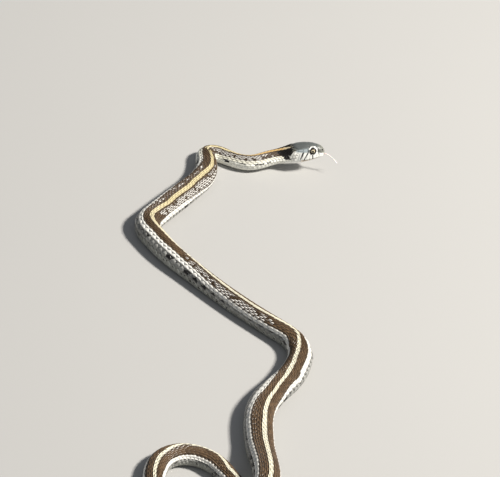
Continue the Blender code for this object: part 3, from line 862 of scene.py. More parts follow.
@dataclass(frozen=True)
class EyeFinish:
    """Pupil, iris and rim of the eye, by the distance from its middle."""

    pupil: Colour = (0.004, 0.004, 0.004)
    ring: Colour = (0.80, 0.70, 0.46)
    iris: Colour = (0.11, 0.065, 0.03)
    rim: Colour = (0.02, 0.017, 0.015)
    pupil_edge: Edge = (0.46, 0.42)
    ring_edge: Edge = (0.74, 0.62)
    rim_edge: Edge = (0.82, 0.91)
    mottle_scale: float = 2600.0
    mottle: float = 0.25
    roughness: float = 0.12
    coat: float = 1.0
    coat_roughness: float = 0.03

    def make(self) -> bpy.types.Material:
        """Builds the material."""
        surface = Surface("eye_gloss")
        desk = surface.desk
        out = desk.reading("from_middle")
        ragged = (desk.noise(self.mottle_scale) - 0.5) * self.mottle + out
        colour = desk.mix(ragged.ease(*self.ring_edge), self.iris, self.ring)
        colour = colour.over(out.ease(*self.pupil_edge), self.pupil)
        colour = colour.over(out.ease(*self.rim_edge), self.rim)
        return surface.dress(colour, {"Roughness": self.roughness, "Coat Weight": self.coat,
                                      "Coat Roughness": self.coat_roughness})


@dataclass(frozen=True)
class TongueFinish:
    """Moist pink tongue, painted pale and near white towards the tip as sun glare."""

    # painted glare: the root and tip colours are paled towards white
    root: Colour = (0.78, 0.62, 0.58)
    tip: Colour = (0.88, 0.84, 0.82)
    streak_dye: Colour = (0.75, 0.7, 0.7)
    tip_along: Edge = (0.1, 0.6)
    streak_scale: float = 1800.0
    streak_share: float = 0.4
    roughness: float = 0.22
    soft_share: float = 0.15
    soft_reach: float = 0.0006

    def make(self) -> bpy.types.Material:
        """Builds the material."""
        surface = Surface("tongue_moist")
        desk = surface.desk
        colour = desk.mix(desk.reading("along").ease(*self.tip_along), self.root, self.tip)
        streak = desk.noise(self.streak_scale) * self.streak_share
        return surface.dress(colour.shaded(streak, self.streak_dye), {
            "Roughness": self.roughness, "Subsurface Weight": self.soft_share,
            "Subsurface Scale": self.soft_reach})


def add_object(name: str, data: bpy.types.ID) -> bpy.types.Object:
    """Makes an object of a mesh, lamp or camera and puts it in the scene."""
    made = bpy.data.objects.new(name, data)
    bpy.context.scene.collection.objects.link(made)
    return made


def mesh_of(name: str, points: Array, faces: list[Face]) -> bpy.types.Mesh:
    """Makes a mesh, smooth shaded.

    Args:
        name: the mesh's name.
        points: vertices.
        faces: vertex numbers of each face.

    Returns:
        The mesh.
    """
    mesh = bpy.data.meshes.new(name)
    mesh.from_pydata(points.reshape(-1, 3).tolist(), [], faces)
    mesh.shade_smooth()
    mesh.update()
    return mesh


def grid_faces(rows: int, columns: int, wrap: bool) -> list[Face]:
    """Faces between neighbouring rows of a grid."""
    last = columns if wrap else columns - 1
    return [(r * columns + c, (r + 1) * columns + c, (r + 1) * columns + (c + 1) % columns,
             r * columns + (c + 1) % columns) for r in range(rows - 1) for c in range(last)]


def tube_faces(rows: int, columns: int, base: int = 0) -> list[Face]:
    """Faces of a tube that is closed at both ends, from a first vertex number."""
    faces = grid_faces(rows, columns, True)
    end = (rows - 1) * columns
    faces += [tuple(range(columns)), tuple(range(end, end + columns))[::-1]]
    return [tuple(base + k for k in face) for face in faces]


def give_layer(mesh: bpy.types.Mesh, name: str, kind: str, field_name: str,
               numbers: Array) -> None:
    """Stores a named attribute, one entry a vertex."""
    layer = mesh.attributes.new(name, kind, "POINT")
    layer.data.foreach_set(field_name, np.ascontiguousarray(numbers, np.float32).ravel())


def give_values(mesh: bpy.types.Mesh, **values: Array) -> None:
    """Stores one number a vertex under each name."""
    for name, numbers in values.items():
        give_layer(mesh, name, "FLOAT", "value", numbers)


def turn_outward(mesh: bpy.types.Mesh) -> None:
    """Turns a closed mesh right side out if its volume is negative."""
    points = np.empty(len(mesh.vertices) * 3)
    mesh.vertices.foreach_get("co", points)
    mesh.calc_loop_triangles()
    corners = np.empty(len(mesh.loop_triangles) * 3, np.int32)
    mesh.loop_triangles.foreach_get("vertices", corners)
    a, b, c = (points.reshape(-1, 3)[corners.reshape(-1, 3)[:, k]] for k in range(3))
    if float(np.sum(a * np.cross(b, c))) < 0:
        mesh.flip_normals()


@dataclass
class RowPlan:
    """Where the rows and columns of scales lie: nineteen rows that thin out along the tail.

    Angles are shares of a whole turn round the body, in degrees from the middle of the back,
    positive to the snake's right.
    """

    row_weights: tuple[float, ...] = (1.0, 1.0, 1.0, 1.0, 1.0, 1.0, 1.1, 1.35, 1.5, 1.9)
    drops: tuple[tuple[int, float], ...] = ((5, 395.0), (4, 604.0), (6, 622.0), (3, 645.0),
                                            (7, 672.0), (2, 700.0), (8, 735.0))
    drop_span: float = 26.0
    lateral_row: int = 7
    pitch: Table = ((12, 1.35), (20, 1.7), (30, 2.3), (60, 2.9), (120, 3.4), (300, 3.75),
                    (450, 3.75), (560, 3.3), (606, 2.6), (650, 2.25), (720, 1.7), (780, 1.1))
    spine: Table = (
        (12, 0), (20, 9), (24, 5), (30, -8), (36, -19), (46, -31), (55, -40), (63, -28),
        (69, -14), (74, -16), (79, -22), (83, 4), (89, 24), (97, 26), (106, 14), (114, 4),
        (122, 4), (134, 13), (150, 11), (158, 15), (168, 8), (176, 4), (181, 10), (187, 24),
        (196, 37), (206, 42), (216, 43), (223, 38), (240, 22), (263, 10), (278, 7), (290, 15),
        (301, 26), (306, 22), (311, 6), (316, -10), (322, -22), (330, -26), (338, -20),
        (346, -13), (354, -2), (363, 8), (373, 16), (394, 16), (412, 10), (436, 8), (470, 6),
        (530, 8), (556, 7), (566, 8), (574, 20), (582, 40), (595, 43), (602, 26), (608, 10),
        (640, 5), (680, 0), (780, 0))
    left_line: Table = (
        (12, -78), (30, -82), (46, -88), (66, -82), (76, -66), (85, -48), (95, -42), (102, -48),
        (109, -62), (125, -64), (150, -58), (170, -50), (185, -42), (194, -36), (205, -35),
        (213, -33), (222, -37), (234, -44), (249, -58), (265, -64), (281, -68), (293, -65),
        (302, -62), (308, -68), (314, -80), (335, -82), (346, -74), (353, -58), (360, -44),
        (372, -31), (382, -40), (392, -52), (402, -59), (416, -58), (436, -57), (451, -60),
        (480, -62), (530, -50), (548, -46), (556, -58), (580, -60), (606, -66), (640, -62),
        (780, -62))
    right_line: Table = (
        (12, 80), (30, 66), (36, 60), (45, 54), (60, 54), (70, 64), (82, 60), (90, 76), (99, 84),
        (109, 88), (123, 82), (134, 76), (147, 75), (162, 76), (171, 82), (180, 90), (190, 100),
        (215, 108), (250, 84), (290, 84), (305, 66), (313, 42), (320, 35), (331, 34), (340, 38),
        (347, 51), (355, 53), (371, 76), (386, 85), (400, 80), (450, 78), (530, 78), (606, 80),
        (640, 68), (780, 62))
    belly_edge: float = 107.0
    belly_follow: float = 0.6
    belly_row: float = 11.5
    opened: tuple[tuple[float, float, int], ...] = ((28.0, 84.0, 1), (88.0, 176.0, 1),
                                                    (214.0, 296.0, -1))
    opened_ramp: float = 17.0
    other_side: float = 0.25
    stripe: Table = ((12, 0.2), (20, 0.5), (24, 1.15), (30, 1.4), (45, 1.3), (100, 1.36),
                     (190, 1.34), (215, 1.06), (298, 1.1), (320, 1.36), (345, 1.28), (368, 1.06),
                     (540, 1.02), (780, 1.15))
    count_step: float = 0.1

    def weights(self, places: Array) -> Array:
        """Width share of each row from the back's middle to the first row, by place."""
        made = np.repeat(np.array(self.row_weights)[:, None], len(places), axis=1)
        for row, place in self.drops:
            made[row] *= 1 - smooth((places - place) / self.drop_span + 0.5)
        return made

    def belly_turn(self, places: Array) -> Array:
        """How far the middle of the belly is turned under the body, in degrees."""
        return self.belly_follow * curve_at(self.spine, places)

    def belly_share(self) -> float:
        """The belly scutes' share of the way round."""
        return 1 - self.belly_edge / 180

    def outer_edges(self, places: Array, way: int) -> Array:
        """Angle of each row's outer edge on one side.

        Args:
            places: distances from the snout.
            way: 1 for the right side and -1 for the left.

        Returns:
            The middle of the back and then the outer edges, rows plus one by places.
        """
        weight = self.weights(places)
        edges = np.cumsum(weight, axis=0) - weight[0] / 2
        middle = curve_at(self.spine, places)
        line = curve_at(self.right_line if way > 0 else self.left_line, places)
        belly = self.belly_turn(places) + way * self.belly_edge
        mark, last = edges[self.lateral_row], edges[-1]
        above = middle + (line - middle) * edges / mark
        below = line + (belly - line) * (edges - mark) / (last - mark)
        return np.concatenate([middle[None], np.where(edges <= mark, above, below)])

    def row_band(self, places: Array, row: int) -> tuple[Array, Array]:
        """Middle and width of a signed row, as shares of the way round.

        Args:
            places: distances from the snout.
            row: number from the middle of the back, positive on the right.

        Returns:
            Two arrays: share of the way round from the belly, and width.
        """
        if row == 0:
            start, end = self.outer_edges(places, -1)[1], self.outer_edges(places, 1)[1]
        else:
            edges = self.outer_edges(places, 1 if row > 0 else -1)
            start, end = edges[abs(row)], edges[abs(row) + 1]
        return 0.5 + (start + end) / 720, np.abs(end - start) / 360

    def row_of(self, places: Array, shares: Array) -> Array:
        """The row number, with its fraction, at shares of the way round.

        Args:
            places: distances from the snout, n of them.
            shares: m shares of the way round from the belly.

        Returns:
            Row numbers from the middle of the back, n by m. The belly lies past 9.5.
        """
        turned = self.belly_turn(places)
        angle = (shares[None, :] * 360 - turned[:, None]) % 360 - 180
        marks = np.concatenate([[0.0], np.arange(len(self.row_weights)) + 0.5, [self.belly_row]])
        right, left = self.outer_edges(places, 1) - turned, self.outer_edges(places, -1) - turned
        made = np.empty(angle.shape)
        for k, middle in enumerate(right[0]):
            on_right = np.interp(angle[k], [*right[:, k], 180.0], marks)
            on_left = np.interp(-angle[k], [*-left[:, k], 180.0], marks)
            made[k] = np.where(angle[k] > middle, on_right, on_left)
        return made

    def openings(self, places: Array, ways: Array) -> Array:
        """Where the body's skin is stretched and shows pale between the scales, 0 to 1."""
        ramp = self.opened_ramp
        return sum(fade(places, start, start + ramp) * fade(places, end, end - ramp)
                   * np.where(ways * way > 0, 1.0, self.other_side)
                   for start, end, way in self.opened)

    def columns(self, start: float, end: float, offset: float) -> Array:
        """Places of the scales in one row, a pitch apart."""
        fine = np.linspace(0.0, LENGTH, round(LENGTH / self.count_step) + 1)
        gained = self.count_step / curve_at(self.pitch, fine[:-1] + self.count_step / 2)
        counted = np.concatenate([[0.0], np.cumsum(gained)])
        low, high = np.interp([start, end], fine, counted)
        return np.interp(np.arange(math.ceil(low - offset), high - offset) + offset, counted, fine)


@dataclass
class Unwrap:
    """A flat layout of the skin: lengths of the body one over another in the unit square."""

    strips: int = 4
    margin: float = 0.012
    patch: float = 0.003
    cap_middle: Edge = (0.5, 0.997)
    cap_half: Edge = (0.004, 0.002)

    def at(self, places: Array, shares: Array, strip: Array) -> tuple[Array, Array]:
        """Layout coordinates of points, read in one strip."""
        u = places / LENGTH * self.strips - strip
        u = self.margin + u * (1 - 2 * self.margin)
        v = (strip + self.margin + shares * (1 - 2 * self.margin)) / self.strips
        return u, v

    def strip_of(self, places: Array) -> Array:
        """The strip that each place lies in."""
        return np.clip(np.floor(places / LENGTH * self.strips), 0, self.strips - 1)

    def cap(self, corners: int) -> tuple[Array, Array]:
        """Layout coordinates of a closed end's corners."""
        turn = np.arange(corners) / corners * 2 * math.pi
        return (self.cap_middle[0] + self.cap_half[0] * np.cos(turn),
                self.cap_middle[1] + self.cap_half[1] * np.sin(turn))


@dataclass
class Skin:
    """The one skin under the scales, from inside the head to the tip of the tail."""

    form: Form
    rows: RowPlan
    unwrap: Unwrap
    start: float = 24.0
    tip: float = 0.05
    step: float = 1.3
    around: int = 72
    depth: float = 0.16
    full_width: float = 6.0

    def build(self) -> bpy.types.Object:
        """Lofts the skin, caps it and stores rows and places on it."""
        places = np.linspace(self.start, LENGTH - self.tip,
                             round((LENGTH - self.start) / self.step))
        shares = np.arange(self.around) / self.around
        surface, _ = self.form.rings(places, shares, 0.0)
        taper = np.minimum(1.0, curve_at(self.form.girth.width, places) / self.full_width)
        middle = surface.mean(axis=1, keepdims=True)
        reach = np.linalg.norm(surface - middle, axis=-1, keepdims=True)
        surface = middle + (surface - middle) * (1 - self.depth * taper[:, None, None] / reach)
        mesh = mesh_of("body_skin", surface * MM, tube_faces(len(places), self.around))
        turn_outward(mesh)
        halves = np.full(len(mesh.vertices), 0.5)
        repeated = np.repeat(places, self.around)
        ways = np.tile(np.where(shares > 0.5, 1, -1), len(places))
        give_values(mesh, row=self.rows.row_of(places, shares), place=repeated,
                    across=halves * 0, along=halves, chance=halves,
                    open=self.rows.openings(repeated, ways),
                    edge=curve_at(self.rows.stripe, repeated))
        self.lay_out(mesh, places)
        return add_object("body_skin", mesh)

    def lay_out(self, mesh: bpy.types.Mesh, places: Array) -> None:
        """Gives the skin its own layout, strip by strip."""
        layer = mesh.uv_layers.new(name="OFBake")
        for face in mesh.polygons:
            rings, turns = np.divmod(np.array(face.vertices), self.around)
            if len(rings) > 4:
                u, v = self.unwrap.cap(len(rings))
            else:
                over_seam = (turns == 0) & (turns.max() > self.around / 2)
                turns = np.where(over_seam, self.around, turns)
                at = places[rings]
                strip = self.unwrap.strip_of(at.mean(keepdims=True))[0]
                u, v = self.unwrap.at(at, turns / self.around, strip)
            for loop, x, y in zip(face.loop_indices, u, v):
                layer.data[loop].uv = (x, y)


@dataclass
class WrapSheet:
    """A flat sheet that the scales are set on, and that carries each point to the body."""

    form: Form
    start: float = 8.0
    step: float = 1.0
    around: int = 200
    spare: float = 0.34
    filled: float = 0.98
    margin: float = 0.01

    def flat(self, places: Array, shares: Array) -> tuple[Array, Array]:
        """Sheet coordinates of places and shares of the way round."""
        return ((places - self.start) / (LENGTH - self.start) * self.filled + self.margin,
                (shares + self.spare) / (1 + 2 * self.spare))

    def scale(self) -> tuple[float, float]:
        """Sheet units for a millimetre along, and for a whole turn."""
        return self.filled / (LENGTH - self.start), 1 / (1 + 2 * self.spare)

    def build(self, depth: float) -> bpy.types.Object:
        """Makes the sheet, already on the body, with its flat coordinates as a map."""
        count = round((LENGTH - self.start) / self.step) + 1
        places = np.linspace(self.start, LENGTH, count)
        shares = np.linspace(-self.spare, 1 + self.spare, self.around)
        surface, outward = self.form.rings(places, shares, depth)
        mesh = mesh_of("wrap_sheet", surface * MM, grid_faces(count, self.around, False))
        give_layer(mesh, "outward", "FLOAT_VECTOR", "vector", outward)
        u, v = self.flat(*np.meshgrid(places, shares, indexing="ij"))
        flat = np.stack([u.ravel(), v.ravel()], axis=-1)
        corners = np.empty(len(mesh.loops), np.int32)
        mesh.loops.foreach_get("vertex_index", corners)
        layer = mesh.uv_layers.new(name="wrap")
        layer.data.foreach_set("uv", flat[corners].astype(np.float32).ravel())
        return add_object("wrap_sheet", mesh)


class CoatTree:
    """The Geometry Nodes tree that sets scales on the flat sheet and wraps them on the body."""

    inputs: tuple[tuple[str, str], ...] = (
        ("Geometry", "Geometry"), ("Scale", "Object"), ("Sheet", "Object"), ("Patch", "Float"),
        ("Finish", "Material"))

    def __init__(self) -> None:
        """Builds the tree with its named inputs."""
        self.tree = bpy.data.node_groups.new("scale_coat", "GeometryNodeTree")
        self.keys = {name: self.open(name, kind, "INPUT") for name, kind in self.inputs}
        self.open("Geometry", "Geometry", "OUTPUT")
        self.desk = Desk(self.tree)
        self.given = self.desk.add("NodeGroupInput").outputs
        self.flow = self.given["Geometry"]
        self.wire()

    def open(self, name: str, kind: str, way: str) -> str:
        """Adds a named input or output, and tells its identifier."""
        return self.tree.interface.new_socket(name=name, in_out=way,
                                              socket_type=f"NodeSocket{kind}").identifier

    def named(self, name: str, kind: str = "FLOAT") -> Signal:
        """A named attribute as a field."""
        node = self.desk.add("GeometryNodeInputNamedAttribute", {"Name": name}, data_type=kind)
        return Signal(self.desk, node.outputs["Attribute"])

    def position(self) -> Signal:
        """Where each point lies, as a field."""
        return Signal(self.desk, self.desk.add("GeometryNodeInputPosition").outputs["Position"])

    def mesh_given(self, name: str) -> Socket:
        """The mesh of an object that is given to the tree."""
        return self.desk.add("GeometryNodeObjectInfo", {"Object": self.given[name]},
                             transform_space="ORIGINAL").outputs["Geometry"]

    def then(self, kind: str, inputs: dict | None = None, **settings: object) -> None:
        """Adds the next step of the mesh's way through the tree."""
        node = self.desk.add(f"GeometryNode{kind}", {0: self.flow, **(inputs or {})}, **settings)
        self.flow = node.outputs[0]

    def on_sheet(self, what: Signal) -> Signal:
        """A vector of the sheet, read where a flat point lies."""
        node = self.desk.add("GeometryNodeSampleUVSurface", {
            "Mesh": self.mesh_given("Sheet"), "Value": what,
            "Source UV Map": self.named("wrap", "FLOAT_VECTOR"), "Sample UV": self.position()},
            data_type="FLOAT_VECTOR")
        return Signal(self.desk, node.outputs["Value"])

    def wire(self) -> None:
        """Joins the nodes: sets the scales, slants them, lays them out and wraps them."""
        self.then("InstanceOnPoints", {"Instance": self.mesh_given("Scale"),
                                       "Scale": self.named("size", "FLOAT_VECTOR")})
        self.then("RealizeInstances")
        drift = self.named("along") * self.named("drift")
        self.then("SetPosition", {"Offset": self.desk.vector(y=drift)})
        spot = self.desk.vector(self.named("along") - 0.5, self.named("across") * 0.5)
        spot = spot.vector_math("SCALE", {"Scale": self.given["Patch"]})
        spot = spot.vector_math("ADD", {1: self.named("root", "FLOAT_VECTOR")})
        self.then("StoreNamedAttribute", {"Name": "OFBake", "Value": spot}, data_type="FLOAT2",
                  domain="CORNER")
        height = self.desk.add("ShaderNodeSeparateXYZ", {0: self.position()}).outputs["Z"]
        lift = self.on_sheet(self.named("outward", "FLOAT_VECTOR"))
        lift = lift.vector_math("SCALE", {"Scale": height})
        self.then("SetPosition", {
            "Position": self.on_sheet(self.position()).vector_math("ADD", {1: lift})})
        self.then("SetShadeSmooth")
        self.then("SetMaterial", {"Material": self.given["Finish"]})
        self.desk.add("NodeGroupOutput", {0: self.flow})

    def run(self, points: bpy.types.Object, shape: bpy.types.Object, sheet: bpy.types.Object,
            patch: float, finish: bpy.types.Material) -> bpy.types.Object:
        """Runs the tree on a set of roots and keeps the result as a plain mesh.

        Args:
            points: roots with their values.
            shape: one scale, flat.
            sheet: the wrap sheet.
            patch: size of a scale's patch in the layout.
            finish: the material.

        Returns:
            The piece.
        """
        step = points.modifiers.new("coat", "NODES")
        step.node_group = self.tree
        for name, value in (("Scale", shape), ("Sheet", sheet), ("Patch", patch),
                            ("Finish", finish)):
            step[self.keys[name]] = value
        graph = bpy.context.evaluated_depsgraph_get()
        mesh = bpy.data.meshes.new_from_object(points.evaluated_get(graph),
                                               preserve_all_data_layers=True, depsgraph=graph)
        points.modifiers.remove(step)
        old = points.data
        points.data = mesh
        bpy.data.meshes.remove(old)
        mesh.name = points.name
        return points


@dataclass
class ScaleShape:
    """One scale on the flat sheet: length 1 from its root, width from -0.5 to 0.5."""

    stations: tuple[float, ...] = (0.0, 0.2, 0.45, 0.7, 0.9, 1.0)
    halves: tuple[float, ...] = (0.50, 0.80, 1.0, 0.86, 0.46, 0.10)
    heights: tuple[float, ...] = (-0.35, 0.2, 0.62, 0.9, 1.0, 0.86)
    spread: tuple[float, ...] = (-1.0, -0.24, 0.0, 0.24, 1.0)
    keel: float = 0.55
    keel_start: float = 0.15
    keel_tip: float = 0.4
    drop: float = 0.45
    skirt: float = -0.5
    skirt_inset: float = 0.96

    def build(self, name: str) -> bpy.types.Object:
        """Makes the scale: a crowned top, a skirt down into the skin and a flat underside."""
        keels = [self.keel * (t >= self.keel_start) for t in self.stations]
        keels[-1] = self.keel * self.keel_tip
        points = [(t, y * half / 2, high - self.drop * y * y + keel * (y == 0))
                  for t, half, high, keel in zip(self.stations, self.halves, self.heights, keels)
                  for y in self.spread]
        wide, long = len(self.spread), len(self.stations)
        base = len(points)
        rim = [*range(wide), *range(2 * wide - 1, base, wide),
               *range(base - 2, base - wide - 1, -1), *range(base - 2 * wide, 0, -wide)]
        points += [(points[k][0], points[k][1] * self.skirt_inset, self.skirt) for k in rim]
        count = len(rim)
        faces = grid_faces(long, wide, False)
        faces += [(rim[k], rim[(k + 1) % count], base + (k + 1) % count, base + k)
                  for k in range(count)]
        faces.append(tuple(range(base, base + count)))
        flat = np.array(points)
        mesh = mesh_of(name, flat, faces)
        turn_outward(mesh)
        give_values(mesh, along=flat[:, 0], across=flat[:, 1] * 2)
        return add_object(name, mesh)


PLAIN_SCALE = ScaleShape(halves=(0.55, 0.86, 1.0, 0.95, 0.66, 0.25), keel=0.0,
                         spread=(-1.0, -0.5, 0.0, 0.5, 1.0))
SCUTE = ScaleShape(stations=(0.0, 0.35, 0.7, 0.9, 1.0), halves=(1.0, 1.0, 0.99, 0.94, 0.82),
                   heights=(-0.3, 0.35, 0.85, 1.0, 0.9), keel=0.0, drop=0.15,
                   spread=(-1.0, -0.9, -0.6, -0.2, 0.2, 0.6, 0.9, 1.0))


@dataclass
class Coat:
    """The keeled scales of the body, in nineteen rows, and the scutes of belly and tail."""

    form: Form
    rows: RowPlan
    unwrap: Unwrap
    sheet: WrapSheet
    finish: bpy.types.Material
    rise: float = 0.25
    throat_rise: float = 0.14
    scute_rise: float = 0.15
    depth: float = 0.16
    overlap: float = 1.42
    broad: float = 1.60
    opening: float = 0.20
    least_weight: float = 0.42
    outer_row: int = 9
    slim_rows: int = 6
    lengths: tuple[tuple[str, float, float], ...] = (
        ("scales_front", 12.0, 150.0), ("scales_foretrunk", 150.0, 300.0),
        ("scales_midtrunk", 300.0, 450.0), ("scales_hindtrunk", 450.0, 606.0),
        ("scales_tail", 606.0, 778.5))
    throat_places: Edge = (9.0, 27.0)
    throat_rows: int = 3
    throat_row: int = 13
    throat_overlap: float = 1.45
    throat_broad: float = 1.5
    scute_row: float = 10.6
    scute_overlap: float = 1.3
    scute_places: Edge = (27.0, 606.0)
    scute_broad: float = 1.08
    pair_places: Edge = (608.0, 777.0)
    pair_broad: float = 0.56
    pair_apart: float = 0.26
    pair_stagger: float = 0.25
    uneven: Edge = (0.96, 1.05)
    full_width: float = 8.0
    sheet_end: float = 1.04

    def roots(self, start: float, end: float, head: "Head") -> Roots:
        """Roots of the scales of one length.

        Args:
            start: first place.
            end: last place.
            head: the head, whose shields keep scales off.

        Returns:
            Rows of place, share round, row number, length, width share and slant, which is
            how far round the row drifts in a millimetre.
        """
        rows, made = self.rows, []
        for row in range(-self.outer_row, self.outer_row + 1):
            places = rows.columns(start, end, 0.5 * (row % 2))
            share, width = rows.row_band(places, row)
            length = curve_at(rows.pitch, places) * self.overlap
            slims = 0 < abs(row) <= self.slim_rows
            slim = 1 - self.opening * rows.openings(places, row) * slims
            slant = rows.row_band(places + 0.5, row)[0] - rows.row_band(places - 0.5, row)[0]
            keep = rows.weights(places)[abs(row)] > self.least_weight
            table = np.stack([places, share, np.full(len(places), row), length,
                              width * self.broad * slim, slant], axis=-1)
            made += [tuple(line) for line in table[keep]]
        return head.clear(made)

    def throat(self, head: "Head") -> Roots:
        """Small smooth scales under the throat, ahead of the first belly scute."""
        share = self.rows.belly_share() / (2 * self.throat_rows + 1)
        return head.clear([
            (place, row * share, self.throat_row + abs(row),
             float(curve_at(self.rows.pitch, place)) * self.throat_overlap,
             share * self.throat_broad, 0.0)
            for row in range(-self.throat_rows, self.throat_rows + 1)
            for place in self.rows.columns(*self.throat_places, 0.5 * (row % 2))])

    def scutes(self) -> Roots:
        """Single scutes across the belly, and pairs under the tail."""
        share = self.rows.belly_share()
        return [(place + self.pair_stagger * way,
                 float(self.rows.belly_turn(place)) / 360 + way * share * self.pair_apart,
                 self.scute_row, float(curve_at(self.rows.pitch, place)) * self.scute_overlap,
                 share * broad, 0.0)
                for span, ways, broad in ((self.scute_places, (0,), self.scute_broad),
                                          (self.pair_places, (-1, 1), self.pair_broad))
                for place in self.rows.columns(*span, 0.0) for way in ways]

    def build(self, head: "Head") -> list[bpy.types.Object]:
        """Sets every length of scales and the scutes."""
        tree = CoatTree()
        scale, plain, scute = (shape.build(name) for shape, name in (
            (ScaleShape(), "one_scale"), (PLAIN_SCALE, "one_smooth_scale"), (SCUTE, "one_scute")))
        sheet = self.sheet.build(self.depth)
        plan = [(name, self.roots(start, end, head), scale, self.rise)
                for name, start, end in self.lengths]
        plan.append(("throat_scales", self.throat(head), plain, self.throat_rise))
        plan.append(("belly_scutes", self.scutes(), scute, self.scute_rise))
        made = [tree.run(self.set_roots(name, roots, rise), shape, sheet, self.unwrap.patch,
                         self.finish) for name, roots, shape, rise in plan]
        for helper in (scale, plain, scute, sheet):
            bpy.data.objects.remove(helper, do_unlink=True)
        bpy.data.node_groups.remove(tree.tree)
        return made

    def set_roots(self, name: str, roots: Roots, rise: float) -> bpy.types.Object:
        """Makes the points that scales are set on, with the values that scales carry.

        Args:
            name: the piece's name.
            roots: rows of place, share, row, length, width share and slant.
            rise: height of a scale's tip, in millimetres.

        Returns:
            The points.
        """
        place, share, row, length, width, slant = np.array(roots, float).T
        draw = np.random.default_rng(SEED + len(roots))
        along, turn = self.sheet.scale()
        length = length * draw.uniform(*self.uneven, len(place))
        share = np.where(share > self.sheet_end, share - 1.0, share)
        u, v = self.sheet.flat(place, share)
        level = np.zeros(len(place))
        mesh = bpy.data.meshes.new(name)
        mesh.from_pydata(np.stack([u, v, level], axis=-1).tolist(), [], [])
        thin = np.minimum(1.0, curve_at(self.form.girth.width, place) / self.full_width)
        size = np.stack([length * along, width * turn, rise * MM * thin], axis=-1)
        root = self.unwrap.at(place, share % 1.0, self.unwrap.strip_of(place))
        give_layer(mesh, "size", "FLOAT_VECTOR", "vector", size)
        give_layer(mesh, "root", "FLOAT_VECTOR", "vector", np.stack([*root, level], axis=-1))
        give_values(mesh, row=row, place=place, chance=draw.random(len(place)),
                    drift=slant * length * turn, open=self.rows.openings(place, row),
                    edge=curve_at(self.rows.stripe, place))
        return add_object(name, mesh)


